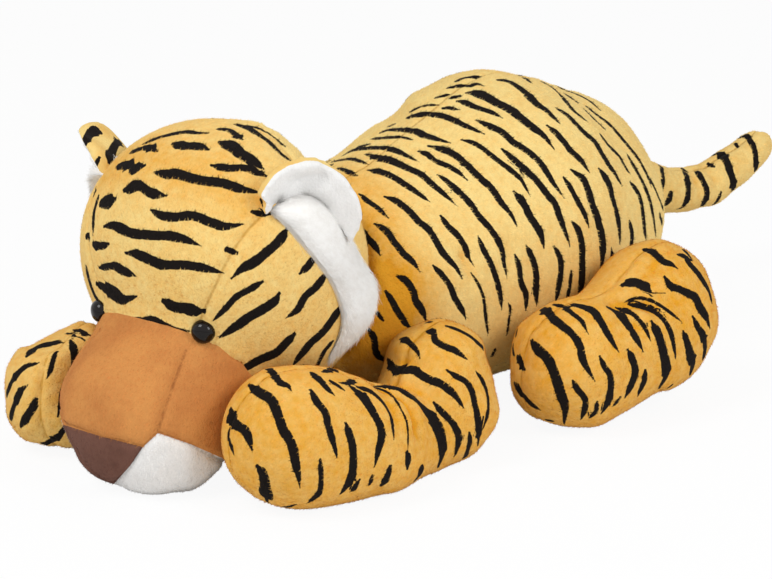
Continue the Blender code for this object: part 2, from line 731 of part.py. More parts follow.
def make_torso():
    """Make the torso's panels, from the tail's seam to the neck, and its stuffing."""
    rear_width = TORSO.half_widths[0]
    rear_place = -math.acos(TAIL_SEAM_RADIUS / rear_width) / QUARTER_TURN
    run_places = [mix(rear_place, 0, step / TORSO_END_ROWS) for step in range(TORSO_END_ROWS)]
    run_places += [step / 2 for step in range(2 * TORSO.last - 1)]
    rows = len(run_places) - 1 + TORSO_END_ROWS

    def ring_place(row_step, angle, depth):
        if row_step < len(run_places):
            return run_places[row_step]
        end = place_at_head(TORSO, run_places[-1], TORSO.last + 1, angle, depth, SOCKET_GAP)
        return mix(run_places[-1], end, (row_step - len(run_places) + 1) / TORSO_END_ROWS)

    def panel(name, start, end):
        def point(row, column, depth):
            row_step = round(row * rows)
            place = min(run_places[min(row_step, len(run_places) - 1)], 0)
            seam = SEAM_GAP / (rear_width * math.cos(place * QUARTER_TURN))
            angle = mix(start + seam / 2, end - seam / 2, column)
            return TORSO.point(ring_place(row_step, angle, depth), angle, depth)
        steps = round((end - start) / TORSO_FACET_ANGLE)
        add_piece(name, shell(point, rows, steps, FABRIC_THICKNESS), STRIPED_PLUSH)

    belly_edge = BELLY_PANEL_ANGLE / 2 - QUARTER_TURN
    panel("back_panel_left", belly_edge, QUARTER_TURN)
    panel("back_panel_right", QUARTER_TURN, HALF_TURN - belly_edge)
    panel("belly_panel", HALF_TURN - belly_edge, FULL_TURN + belly_edge)

    depth = FABRIC_THICKNESS + TORSO_STUFFING_GAP
    total = rows + 1 + TORSO_SOCKET_ROWS
    socket_middle = TORSO.point(TORSO.last + 1, 0)

    def core_point(row, column):
        step = round(row * total)
        angle = belly_edge + column * FULL_TURN
        if step == 0:
            return TORSO.point(-1, angle, depth)
        ring = TORSO.point(ring_place(min(step - 1, rows), angle, depth), angle, depth)
        inward = max(step - 1 - rows, 0) / TORSO_SOCKET_ROWS
        return outside_head(mix(ring, socket_middle, inward), SOCKET_GAP)

    core = closed_form(core_point, total, round(FULL_TURN / TORSO_FACET_ANGLE))
    add_piece("torso_stuffing", core, STUFFING)


def make_leg(name, leg, pivot):
    """Make a leg's outer and inner panels around its stuffing."""
    places = leg.places()
    side = math.copysign(1, pivot.location.x)

    def leg_point(row, angle, depth, aside=0):
        spot = leg.point(read_places(places, row), angle, depth, aside)
        pressed = outside_head(spot, RUFF_SEAT_GAP + RUFF_DEPTH * RUFF_PRESSED_SHARE + SEAT_GAP + depth)
        return outside_muzzle(pressed, PAW_TO_MUZZLE_GAP + depth)

    def panel(part, start, aside):
        def point(row, column, depth):
            return leg_point(row, start + column * HALF_TURN, depth, aside)
        skin = shell(point, len(places) - 1, LEG_PANEL_STEPS, FABRIC_THICKNESS)
        add_piece(name + part, skin, STRIPED_PLUSH, pivot, Vector(pivot.location))

    panel("_outer_panel", -QUARTER_TURN * side, side * SEAM_GAP / 2)
    panel("_inner_panel", QUARTER_TURN * side, -side * SEAM_GAP / 2)

    def core_point(row, column):
        return leg_point(row, column * FULL_TURN, FABRIC_THICKNESS + STUFFING_GAP)

    core = closed_form(core_point, len(places) - 1, 2 * LEG_PANEL_STEPS)
    add_piece(name + "_stuffing", core, STUFFING, pivot, Vector(pivot.location))


def seat_on_torso(start, direction, radius, gap):
    """Find where a ball, moved from just inside the torso in a direction, clears it by a gap."""
    low = 0
    high = TORSO_HALF_WIDTH + 2 * radius
    for _ in range(SEARCH_STEPS):
        middle = (low + high) / 2
        if torso_distance(start + direction * middle) < radius + gap:
            low = middle
        else:
            high = middle
    return start + direction * high


def torso_distance(spot):
    """Give the distance from a point to the torso's left half."""
    nearest = TORSO_HALF_WIDTH * 4
    for row in range(SEAT_ROWS + 1):
        place = mix(-1, TORSO.last + 1, row / SEAT_ROWS)
        for column in range(SEAT_ROWS + 1):
            angle = mix(-QUARTER_TURN, QUARTER_TURN, column / SEAT_ROWS)
            nearest = min(nearest, (TORSO.point(place, angle) - spot).length)
    return nearest


def leg_bolster(side, root, stations, radii):
    """Make a leg's shape from its root on the left and stations (outward, forward, raised)."""
    centres = [root]
    for (outward, forward, raised), radius in zip(stations, radii[1:]):
        centres.append(Vector((outward, -forward, radius - LEG_SINK + raised)))
    centres = [Vector((centre.x * side, centre.y, centre.z)) for centre in centres]
    first_reach = (centres[0] - centres[1]).normalized() * radii[0]
    last_reach = (centres[-1] - centres[-2]).normalized() * radii[-1]
    return Bolster(centres, radii, radii, centres[0] + first_reach, centres[-1] + last_reach)


def make_legs():
    """Make the four legs, each hung from a joint at its root ball, against the torso."""
    hind_radii = [LEG_RADIUS, SHIN_RADIUS, LEG_RADIUS]
    knee_inside = Vector((TORSO_HALF_WIDTH / 2, -KNEE_FORWARD, LEG_RADIUS - LEG_SINK + KNEE_RAISE))
    knee = seat_on_torso(knee_inside, LEFT, LEG_RADIUS, -KNEE_PRESS)
    shin = (SHIN_OUT, SHIN_FORWARD, KNEE_RAISE / 2)
    foot = (FOOT_OUT, FOOT_FORWARD, 0)
    for side_name, side in SIDES:
        add_leg("hind_leg_" + side_name, leg_bolster(side, knee, (shin, foot), hind_radii))
    add_front_leg(
        "front_leg_left", 1, ELBOW_FORWARD, ELBOW_RAISE, ELBOW_PRESS,
        ((CREASE_OUT, CREASE_FORWARD, 0), (FOREARM_OUT, FOREARM_FORWARD, 0), (PAW_OUT, PAW_FORWARD, 0)),
        [ELBOW_RADIUS, CREASE_RADIUS, FOREARM_RADIUS, LEG_RADIUS],
    )
    tucked_out = FOREARM_OUT - RIGHT_PAW_TUCK
    add_front_leg(
        "front_leg_right", -1, RIGHT_ELBOW_FORWARD, 0, RIGHT_ELBOW_PRESS,
        ((tucked_out, FOREARM_FORWARD + RIGHT_PAW_REACH, 0),
         (PAW_OUT - RIGHT_PAW_TUCK, PAW_FORWARD + RIGHT_PAW_REACH, 0)),
        [RIGHT_ELBOW_RADIUS, RIGHT_FOREARM_RADIUS, LEG_RADIUS],
    )


def add_front_leg(name, side, elbow_forward, elbow_raise, press, stations, radii):
    """Make a front leg that starts at its elbow, pressed to the torso."""
    elbow_up = radii[0] - LEG_SINK + elbow_raise
    elbow_inside = Vector((TORSO_HALF_WIDTH / 2, -elbow_forward, elbow_up))
    elbow = seat_on_torso(elbow_inside, LEFT, radii[0], -press)
    add_leg(name, leg_bolster(side, elbow, stations, radii))


def add_leg(name, leg):
    """Make a leg of this shape with its joint at the middle of its root ball."""
    make_leg(name, leg, add_empty(name + "_joint", leg.centres[0]))


def make_tail():
    """Make the tail's two panels around its stuffing, with its root ball in the rump's seam."""
    root = seat_on_torso(TORSO.poles[0] + UP * TAIL_RAISE, TAILWARD, TAIL_ROOT_RADIUS, SEAT_GAP)
    offsets = ((0, 0), (TAIL_BEND_BACK, TAIL_BEND_DROP), (TAIL_MIDDLE_BACK, TAIL_MIDDLE_DROP),
               (TAIL_TIP_BACK, TAIL_TIP_DROP))
    centres = [root + Vector((0, back, -drop)) for back, drop in offsets]
    radii = [TAIL_ROOT_RADIUS, TAIL_RADIUS, TAIL_RADIUS, TAIL_RADIUS]
    first_reach = (centres[0] - centres[1]).normalized() * TAIL_ROOT_RADIUS
    last_reach = (centres[3] - centres[2]).normalized() * TAIL_RADIUS
    tail = Bolster(centres, radii, radii, centres[0] + first_reach, centres[3] + last_reach)
    pivot = add_empty("tail_joint", root)
    places = tail.places()

    def panel(name, start, aside):
        def point(row, column, depth):
            return tail.point(read_places(places, row), start + column * HALF_TURN, depth, aside)
        skin = shell(point, len(places) - 1, TAIL_PANEL_STEPS, FABRIC_THICKNESS)
        add_piece(name, skin, STRIPED_PLUSH, pivot, root)

    panel("tail_panel_right", -QUARTER_TURN, SEAM_GAP / 2)
    panel("tail_panel_left", QUARTER_TURN, -SEAM_GAP / 2)

    def core_point(row, column):
        return tail.point(read_places(places, row), column * FULL_TURN, FABRIC_THICKNESS + STUFFING_GAP)

    core = closed_form(core_point, len(places) - 1, 2 * TAIL_PANEL_STEPS)
    add_piece("tail_stuffing", core, STUFFING, pivot, root)


head_pivot = add_empty("head_joint", HEAD_CENTRE)
make_head(head_pivot)
make_eyes(head_pivot)
make_muzzle(head_pivot)
make_ruffs(head_pivot)
make_ears()
make_torso()
make_legs()
make_tail()
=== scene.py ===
"""The looks of a plush tiger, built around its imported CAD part.

Each stuffed part gets one smooth skin over its CAD panels. Seams, folds and stripes are worked out on
the skin's vertices: as grooves in its shape, and as distances that the plush materials read.
"""

import math

import bmesh
import bpy
import numpy as np
from mathutils import Matrix, Vector, noise
from mathutils.bvhtree import BVHTree
from mathutils.kdtree import KDTree


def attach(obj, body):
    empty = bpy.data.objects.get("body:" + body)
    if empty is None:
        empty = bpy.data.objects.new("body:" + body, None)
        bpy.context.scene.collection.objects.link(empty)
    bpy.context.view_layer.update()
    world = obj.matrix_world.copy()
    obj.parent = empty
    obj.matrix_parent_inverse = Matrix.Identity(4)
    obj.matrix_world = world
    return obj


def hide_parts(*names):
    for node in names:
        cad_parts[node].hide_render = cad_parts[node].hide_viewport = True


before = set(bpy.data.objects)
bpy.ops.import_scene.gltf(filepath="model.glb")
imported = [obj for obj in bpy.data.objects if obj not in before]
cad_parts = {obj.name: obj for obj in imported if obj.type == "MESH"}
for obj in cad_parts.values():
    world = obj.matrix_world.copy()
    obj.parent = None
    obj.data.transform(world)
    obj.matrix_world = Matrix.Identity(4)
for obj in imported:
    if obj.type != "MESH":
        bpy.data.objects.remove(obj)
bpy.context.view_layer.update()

# Photograph: where its camera stood round the tiger
PHOTO_WIDTH = 772
PHOTO_HEIGHT = 579
AZIMUTH = math.radians(42)
ELEVATION = math.radians(17)
DISTANCE = 2.0
FOCAL_PIXELS = 3077
AIM = Vector((-0.134, 0.1374, 0.0))
SENSOR_WIDTH = 36.0

# Skins: the voxel that joins a part's panels, then smoothing rounds and halvings of the faces
LARGE_VOXEL = 0.0065
SMALL_VOXEL = 0.0042
EAR_VOXEL = 0.0018
SMOOTHING_ROUNDS = 7
EAR_ROUNDS = 3
PUSH_BACK = 0.0012
EAR_PUSH_BACK = 0.0003

# Seams and folds
SEAM_DEPTH = 0.0016
SEAM_REACH = 0.0020
PUCKER_DEPTH = 0.0005
PUCKER_LENGTH = 0.007
LUMP_HEIGHT = 0.0016
LUMP_LENGTH = 0.05
FOLD_DEPTH = 0.0042
FOLD_REACH = 0.0040
FOLD_STEP = 2.0
RIDGE_SHARE = 0.35
RIDGE_REACHES = 2.2

# Stripes: traced on the photograph, then grown where it shows nothing
STRIPE_STEP = 1.0
STRIPE_WIDENING = 1.12
STRIPE_HEAD_SHARE = 0.12
STRIPE_TAIL_SHARE = 0.26
STRIPE_SPREAD_MAX = 1.9
STRIPE_FACING = 0.12
STRIPE_LEAP = 0.006
STRIPE_MARGIN = 0.0009
GROWN_SPACING = 0.017
GROWN_WIDTH = 0.0062
RUMP_BEND = 0.75
BEND_START = 0.06
STEEPNESS_MIN = 0.35
GROWN_LENGTH = 0.035
GROWN_WANDER = 0.45
GROWN_WANDER_LENGTH = 0.05
GROWN_SHIFT = (0.31, 0.17, 0.23)
GROWN_SHARE = 0.45
GROWN_SWELL = 1.9
GROWN_CLEARANCE = 0.005
GROWN_FADE = 0.006
MIRROR_CLEARANCE = 0.006
ALONG_BODY = (0.1, 1, 0.25)
ALONG_LIMB = (0, 1, 0.2)
UP_HEAD = (0, -0.3, 1)
UP_EAR = (0, 0.5, 1)
FAR_AWAY = 0.05
SIGHT_SLACK = 0.004

# Eyes
EYE_RADIUS = 0.0066
EYE_SINK = 0.0018
EYE_RISE = 0.0048
EYE_SEGMENTS = 72
EYE_ROWS = 20
EYE_FULLNESS = 2.4

# Long fur on the ruffs, and the short pile over the plush
RUFF_STRANDS = 18000
RUFF_STRAND_LENGTH = 0.0075
STRAND_WIDTH = 0.0005
STRAND_STRAY = 0.14
STRAND_LIFT = 0.3
STRAND_LEVELS = 4
STRAND_LENGTH_SHARES = (0.65, 1.15)
STRAND_DROOP = 0.25
STRAND_TAPER = 0.85
PILE_DENSITY = 450000
PILE_LENGTH = 0.0019
PILE_LENGTH_SHARES = (0.6, 1.2)
PILE_WIDTH = 0.0004
PILE_STRAY = 0.25
PILE_LIFTS = (0.15, 0.55)
PILE_VALUES = ("stripe_across", "stripe_half", "stripe_distance", "seam", "fold", "warmth", "white")
FIBRE_SHADES = (-0.13, 0.13)
PILE_DIRECTIONS = {
    "torso": (0, 1, -0.5), "head": (0, 0.7, 0.7), "tail": (0, 1, 0),
    "front_leg_left": (0, -1, -0.3), "front_leg_right": (0, -1, -0.3),
    "hind_leg_left": (0, -1, -0.3), "hind_leg_right": (0, -1, -0.3),
    "muzzle_skin": (0, -0.7, -0.7), "nose_skin": (0, -0.5, -0.8), "chin_skin": (0, 0, -1),
}

# Plush materials: lengths of their patterns, and where each band starts and ends
HALF = 0.5
STRIPE_SOFTNESS = 0.0002
WOBBLE_LENGTH = 0.006
WOBBLE_REACH = 0.0012
FRAY_LENGTH = 0.0009
FRAY_REACH = 0.0008
EAR_FRAY_LENGTH = 0.0012
EAR_PILE_DEPTH = 0.0007
WHITE_BAND = (0.0008, 0.0014)
LINING_BAND = (0.0014, 0.0018)
# Painted shade in the seams: where it fades out, and how much darker it makes the plush
SEAM_SHADE_BAND = (0.0013, 0.0002)
SEAM_PAINTED_SHADE = 0.28
# Painted shade in the folds: the fold depths over which the plush turns to its deeper colour
FOLD_SHADE_BAND = (-0.0004, -0.0035)
PATCH_LENGTH = 0.028
MOTTLE_LENGTH = 0.0045
MOTTLE = 0.7

# Lights and floor
WORLD_STRENGTH = 0.52
KEY_POWER = 7.8
KEY_SIZE = 0.55
FILL_POWER = 6.1
FILL_SIZE = 0.5
LIGHT_DISTANCE = 1.6
FLOOR_SIZE = 12.0
FLOOR_GLOW_SHARE = 0.93

generator = np.random.default_rng(7)

# Stripes: full width in pixels, then points on the photograph
HEAD_STRIPES = (
    (6, (131, 152), (143, 148), (151, 148), (157, 152)),
    (4.5, (143, 144), (161, 137), (184, 132), (196, 133), (209, 133)),
    (6, (174, 143), (184, 146), (196, 146), (208, 150)),
    (8, (117, 166), (129, 165), (134, 168), (144, 166)),
    (9, (125, 189), (139, 186), (151, 193), (166, 196)),
    (9, (101, 202), (106, 202), (115, 200)),
    (3.5, (99, 195), (94, 213), (93, 235)),
    (8.5, (155, 172), (167, 174), (177, 174), (199, 180), (222, 183), (241, 189), (262, 193)),
    (6.5, (212, 165), (227, 168), (245, 168), (258, 173), (269, 177)),
    (8.5, (151, 210), (160, 215), (172, 217), (192, 216), (208, 221), (221, 226), (232, 226), (244, 224)),
    (9, (104, 226), (115, 226), (131, 233), (150, 235), (169, 236), (184, 239), (201, 246)),
    (7, (93, 245), (101, 246), (109, 244)),
    (8.5, (125, 253), (136, 254), (150, 260), (163, 265), (183, 265), (204, 268), (224, 273)),
    (6.5, (99, 268), (113, 266), (122, 270), (136, 276)),
    (7.5, (97, 284), (106, 289), (115, 294), (124, 299), (137, 296)),
    (9, (164, 302), (176, 307), (190, 308), (201, 310)),
    (12, (185, 308), (203, 311)),
    (6, (130, 318), (143, 321), (152, 319), (163, 324), (175, 330), (189, 331)),
    (5.5, (86, 266), (89, 280), (94, 294), (100, 303)),
    (5, (93, 318), (98, 326), (100, 332)),
    (5.5, (228, 250), (236, 253)),
    (5, (218, 129), (228, 130), (235, 134), (242, 140)),
    (8, (221, 142), (231, 146), (240, 153), (252, 160), (263, 169)),
    (5.5, (235, 124), (247, 128), (261, 136), (271, 144), (280, 153), (292, 162)),
    (2.5, (246, 125), (260, 129), (270, 135), (278, 141), (287, 148)),
    (5, (270, 181), (279, 168)),
    (4, (262, 200), (267, 211)),
    (5.5, (253, 212), (262, 214), (270, 214)),
    (9, (287, 229), (279, 241), (267, 252), (253, 263), (243, 268), (232, 278)),
    (6, (262, 282), (249, 290), (236, 297), (226, 308), (213, 321)),
    (8.5, (279, 294), (274, 302), (262, 310), (248, 318), (237, 326), (220, 337)),
    (6.5, (314, 258), (308, 266), (300, 273)),
    (6.5, (326, 274), (317, 286), (305, 297), (298, 309), (286, 318)),
    (6.5, (341, 306), (333, 319), (324, 331), (311, 343), (301, 355), (292, 367)),
    (3.5, (333, 341), (324, 352), (318, 364), (311, 372)),
    (7.5, (294, 334), (286, 343), (274, 354), (259, 360), (246, 368), (236, 377)),
)
BODY_STRIPES = (
    (3, (455, 82), (464, 78), (475, 77), (482, 77)),
    (3, (447, 88), (459, 86), (470, 86), (476, 84), (484, 86)),
    (2.2, (435, 98), (442, 96), (450, 94)),
    (3, (450, 98), (459, 96)),
    (2.2, (410, 112), (420, 107), (430, 105), (439, 105)),
    (3, (444, 108), (450, 108), (459, 110)),
    (4.5, (406, 118), (417, 115), (429, 114), (442, 116), (453, 120), (466, 126), (484, 134)),
    (6.5, (466, 93), (474, 93), (482, 95), (495, 102), (511, 110), (522, 119), (535, 129), (544, 136),
      (554, 149)),
    (4, (458, 101), (464, 102), (475, 107), (488, 111), (495, 114), (502, 118)),
    (5.5, (476, 120), (490, 126), (502, 132), (513, 142), (526, 150), (539, 161), (546, 171),
      (554, 184), (564, 198)),
    (4.5, (462, 140), (471, 142), (482, 148), (491, 155), (500, 162), (512, 171), (522, 181), (530, 196)),
    (6, (429, 146), (438, 148), (449, 152), (459, 158), (470, 168), (480, 178), (492, 189), (501, 202),
      (510, 213), (517, 226)),
    (4.5, (419, 151), (428, 155), (436, 161), (448, 166), (458, 172), (467, 180)),
    (5.5, (438, 175), (448, 182), (460, 193), (469, 202), (478, 215), (488, 226), (497, 239),
      (502, 250), (504, 263), (507, 278)),
    (4.5, (380, 133), (389, 130), (402, 130), (415, 131), (426, 136), (440, 140), (450, 143)),
    (2.8, (371, 139), (384, 138), (400, 137), (412, 140)),
    (1.8, (357, 147), (371, 144)),
    (1.5, (388, 127), (395, 124)),
    (4, (342, 156), (354, 150), (371, 148), (387, 148), (397, 151), (407, 156), (419, 162)),
    (3.2, (331, 162), (342, 160), (351, 159), (359, 161), (369, 165)),
    (5.5, (365, 154), (376, 157), (392, 161), (407, 168), (420, 174), (432, 184), (445, 195), (457, 206)),
    (5, (368, 170), (381, 172), (393, 177), (407, 186), (419, 194), (430, 202)),
    (4, (338, 168), (347, 171), (356, 176)),
    (4, (360, 194), (368, 201), (378, 208), (388, 218)),
    (6, (385, 197), (396, 201), (409, 211), (418, 221), (428, 229), (436, 241), (443, 253), (455, 266),
      (462, 278)),
    (6, (375, 224), (386, 231), (395, 243), (404, 254), (413, 262), (420, 272)),
    (6, (361, 229), (368, 239), (374, 245), (380, 255)),
    (2, (363, 238), (365, 249), (366, 259)),
    (5.5, (441, 216), (448, 226), (457, 235), (464, 245), (468, 256), (473, 265)),
    (5.5, (433, 266), (442, 275), (450, 286), (455, 298), (462, 310), (466, 319)),
    (6.5, (397, 276), (406, 281), (413, 291), (416, 301), (422, 310), (426, 321)),
    (6, (386, 292), (391, 299), (397, 310), (404, 321), (412, 330)),
    (2.5, (471, 273), (478, 284), (483, 296), (485, 310), (488, 336)),
    (5, (478, 236), (483, 249), (490, 262), (496, 278), (500, 294), (502, 310)),
    (6.5, (514, 192), (523, 203), (531, 218), (540, 232), (544, 248)),
    (5, (515, 255), (519, 267), (521, 282), (526, 295), (526, 310)),
    (5.5, (526, 246), (532, 258), (536, 272), (536, 291), (537, 306)),
    (6, (502, 149), (512, 158), (522, 167), (535, 179), (547, 194), (555, 204), (560, 218), (565, 231),
      (570, 246)),
    (4.5, (564, 178), (571, 189), (578, 202), (584, 213), (589, 227)),
    (6, (571, 170), (583, 179), (588, 190), (592, 203), (597, 217), (601, 232), (603, 249), (602, 264),
      (600, 277)),
    (5.5, (572, 222), (579, 232), (582, 246), (582, 262), (582, 278), (580, 292), (578, 303)),
    (5, (554, 247), (560, 258), (561, 271), (559, 284), (556, 302)),
    (3, (571, 271), (570, 284), (567, 301)),
    (5, (599, 169), (608, 182), (612, 196), (616, 210), (619, 225), (620, 244)),
    (4.5, (629, 221), (632, 234), (631, 249), (631, 262), (630, 271)),
    (3, (611, 248), (612, 259), (610, 276), (608, 291), (606, 301)),
    (4, (630, 182), (638, 193), (642, 207), (644, 224), (646, 241)),
    (3.5, (627, 154), (633, 165), (641, 179), (649, 198), (653, 215), (656, 238)),
    (5.5, (556, 108), (567, 115), (577, 125), (586, 134), (595, 142), (601, 152), (609, 165),
      (616, 175), (622, 186)),
    (5, (548, 126), (556, 133), (564, 142), (571, 151), (581, 160), (589, 172)),
    (5, (497, 80), (507, 81), (517, 86), (527, 94), (537, 104), (546, 110), (560, 124)),
    (3.5, (499, 71), (512, 73), (523, 77), (532, 84)),
    (2, (513, 72), (525, 72), (540, 76)),
    (3.5, (541, 81), (554, 89), (563, 98), (572, 109), (580, 116), (588, 122)),
    (2, (556, 86), (569, 92)),
    (3, (564, 93), (576, 102), (587, 112), (597, 122), (607, 131)),
    (3.5, (586, 106), (597, 115), (609, 124), (619, 135), (629, 147), (639, 160), (647, 175), (652, 190)),
    (3.5, (600, 134), (609, 146), (619, 156), (624, 165), (630, 174)),
    (2, (569, 91), (588, 100), (602, 112)),
    (1.8, (650, 178), (658, 196), (664, 212), (668, 225)),
    (2.5, (659, 213), (663, 226), (667, 238)),
    (2, (508, 303), (510, 310), (507, 335)),
    (6.5, (369, 330), (374, 338), (375, 349), (378, 356), (385, 361)),
    (3, (492, 356), (495, 349)),
    (4, (378, 314), (383, 320)),
    (3, (392, 344), (397, 345)),
)
NEAR_ARM_STRIPES = (
    (5, (264, 367), (270, 370), (275, 376), (281, 383), (288, 386), (292, 392)),
    (9, (249, 384), (253, 388), (262, 394), (270, 399), (275, 407), (279, 418), (283, 430), (289, 439),
      (293, 448), (295, 460), (298, 474), (300, 488)),
    (8, (230, 409), (232, 420), (238, 426), (245, 431), (249, 439), (252, 449)),
    (3, (230, 429), (229, 439), (234, 455)),
    (8, (258, 467), (263, 474), (265, 485), (267, 503)),
    (4.5, (320, 460), (321, 471), (321, 485), (318, 494), (308, 503)),
    (6.5, (311, 390), (317, 402), (325, 412), (328, 424), (332, 438), (337, 457)),
    (7, (346, 424), (350, 436), (353, 450), (353, 467), (350, 481), (341, 494)),
    (4.5, (311, 372), (320, 380), (327, 388), (334, 395)),
    (7, (350, 386), (362, 396), (374, 414), (381, 428), (381, 440), (378, 452), (375, 466)),
    (3, (235, 483), (244, 495), (258, 500), (270, 503)),
    (2.5, (359, 480), (355, 489), (350, 492)),
    (2, (275, 507), (286, 507), (298, 504)),
    (2.5, (330, 381), (337, 385), (344, 390)),
    (6.5, (357, 357), (348, 364), (337, 369), (322, 372)),
    (3, (355, 380), (349, 383), (340, 383)),
    (6, (426, 331), (433, 332), (435, 340), (440, 344), (449, 348), (456, 351), (467, 359)),
    (4.7, (401, 338), (408, 342), (414, 347), (417, 351), (420, 358)),
    (7.5, (387, 359), (391, 366), (397, 370), (404, 370), (413, 370), (421, 375), (430, 380),
      (441, 384), (449, 390), (456, 397), (464, 408)),
    (5.5, (447, 370), (456, 376), (466, 382), (472, 391), (475, 404), (478, 419), (479, 433), (478, 446)),
    (3.3, (476, 372), (481, 378), (486, 389), (488, 400), (488, 413), (483, 429)),
    (3, (446, 326), (456, 329), (468, 335), (478, 343), (486, 352), (490, 363), (493, 374)),
    (9, (375, 386), (389, 386), (401, 389), (413, 397), (423, 408), (433, 420), (438, 430), (442, 442),
      (442, 455), (438, 468)),
    (6, (434, 403), (442, 412), (450, 420), (456, 429), (459, 440), (455, 456)),
    (3.5, (469, 433), (470, 442), (466, 455), (460, 467), (455, 471)),
    (2, (372, 387), (385, 391), (394, 398), (401, 409), (407, 423), (408, 438), (408, 452)),
    (5, (408, 448), (408, 458), (408, 468)),
    (3.7, (357, 387), (370, 391), (381, 400), (388, 410), (392, 421), (394, 439)),
    (5, (390, 467), (388, 475), (382, 486)),
    (5.5, (421, 466), (420, 474), (414, 482)),
    (2.5, (372, 476), (370, 485)),
    (3, (358, 481), (352, 491)),
    (3.5, (418, 322), (431, 322)),
    (2, (437, 317), (453, 316)),
    (4.5, (372, 378), (376, 382), (378, 376)),
)
HIND_LEG_STRIPES = (
    (7, (536, 306), (546, 311), (555, 320), (565, 328), (574, 336), (580, 347), (582, 357), (587, 368),
      (595, 381)),
    (9, (531, 341), (539, 351), (547, 358), (553, 370), (557, 382), (561, 394), (565, 407), (564, 425)),
    (3.5, (553, 304), (564, 307), (573, 314), (581, 320), (585, 327), (589, 335)),
    (6, (572, 304), (584, 307), (593, 311), (599, 319), (606, 331), (612, 341), (619, 352)),
    (5.5, (600, 357), (604, 366), (610, 375), (611, 387), (608, 402), (602, 413)),
    (5.5, (573, 381), (578, 390), (585, 399), (585, 408), (581, 420)),
    (3.5, (597, 402), (596, 411), (590, 418)),
    (5, (517, 357), (525, 370)),
    (3, (517, 330), (516, 336)),
    (3, (513, 340), (513, 351), (515, 356)),
    (4.5, (514, 383), (522, 394), (531, 404), (540, 410)),
    (2, (546, 420), (553, 421)),
    (2, (620, 398), (615, 405)),
    (5.5, (644, 250), (651, 251), (657, 256), (663, 261), (671, 264), (677, 268)),
    (2.5, (660, 238), (668, 239), (677, 243), (685, 251), (693, 261)),
    (6, (678, 255), (686, 257), (690, 264), (697, 272), (704, 282), (709, 291), (712, 303)),
    (7.5, (624, 285), (632, 283), (640, 284), (646, 288), (652, 293)),
    (1, (652, 293), (667, 293)),
    (6.5, (665, 277), (671, 286), (679, 289), (688, 293), (696, 298), (700, 307), (706, 316), (710, 328)),
    (3.2, (625, 302), (632, 299), (641, 298), (652, 301), (661, 306), (671, 313), (683, 323)),
    (6, (607, 307), (618, 314), (626, 322), (633, 332), (638, 341), (643, 351)),
    (4, (616, 308), (626, 311), (634, 315), (641, 322), (646, 330), (651, 341)),
    (4.5, (627, 304), (638, 306), (650, 310), (659, 315), (666, 323), (671, 334), (674, 346), (676, 358)),
    (7, (652, 322), (658, 333), (661, 343), (664, 355), (666, 367), (666, 376), (659, 389)),
    (5.3, (683, 332), (687, 342), (690, 354), (693, 363), (690, 376)),
    (4.7, (693, 317), (698, 327), (703, 336), (705, 346), (704, 358), (703, 370)),
    (6, (628, 350), (633, 361), (635, 372), (632, 383), (625, 398)),
    (4.3, (645, 371), (644, 381), (638, 396)),
    (2.5, (672, 385), (668, 388)),
    (2, (692, 379), (687, 382)),
    (2, (620, 397), (613, 406)),
)
FAR_PAW_STRIPES = (
    (6, (27, 356), (33, 350), (40, 346), (50, 344), (58, 342), (63, 343)),
    (4, (5, 399), (9, 388), (14, 378), (20, 371), (27, 366), (39, 363)),
    (5, (10, 420), (12, 412), (16, 401), (21, 391), (28, 385)),
    (7.5, (70, 340), (73, 347), (75, 357), (75, 366), (72, 375), (67, 383), (64, 392), (62, 401),
      (58, 416)),
    (4.5, (56, 352), (53, 360), (51, 369), (47, 378)),
    (7.5, (36, 400), (33, 407), (29, 414), (24, 421), (20, 427)),
    (5, (64, 427), (60, 435), (53, 440), (45, 444), (36, 444)),
    (3.5, (74, 330), (81, 331), (86, 334), (90, 335)),
    (2, (66, 333), (72, 334), (76, 337)),
    (2, (80, 337), (84, 340)),
)
TAIL_STRIPES = (
    (2.5, (641, 156), (646, 162)),
    (4, (655, 159), (660, 164), (662, 172), (663, 179), (662, 187), (659, 192)),
    (5, (670, 195), (668, 202), (664, 206)),
    (4.8, (678, 166), (684, 170), (687, 177), (688, 185), (688, 195), (686, 202), (682, 207), (677, 209)),
    (5, (697, 170), (700, 176), (704, 183), (707, 191), (706, 199), (700, 209)),
    (3, (721, 193), (717, 201), (710, 208)),
    (2.5, (709, 164), (713, 167)),
    (6, (709, 157), (715, 154), (721, 154), (727, 163), (730, 172), (733, 181), (733, 191), (730, 200)),
    (5, (738, 138), (746, 136), (751, 142), (755, 151), (756, 162), (756, 172), (754, 180)),
    (3, (735, 143), (738, 148)),
)
FAR_EAR_STRIPES = (
    (8, (85, 143), (90, 134), (97, 131), (101, 133)),
    (7, (109, 162), (112, 152), (117, 143), (124, 141)),
    (4, (96, 164), (99, 158)),
)
NEAR_EAR_STRIPES = (
    (3, (346, 175), (355, 184), (360, 193)),
)

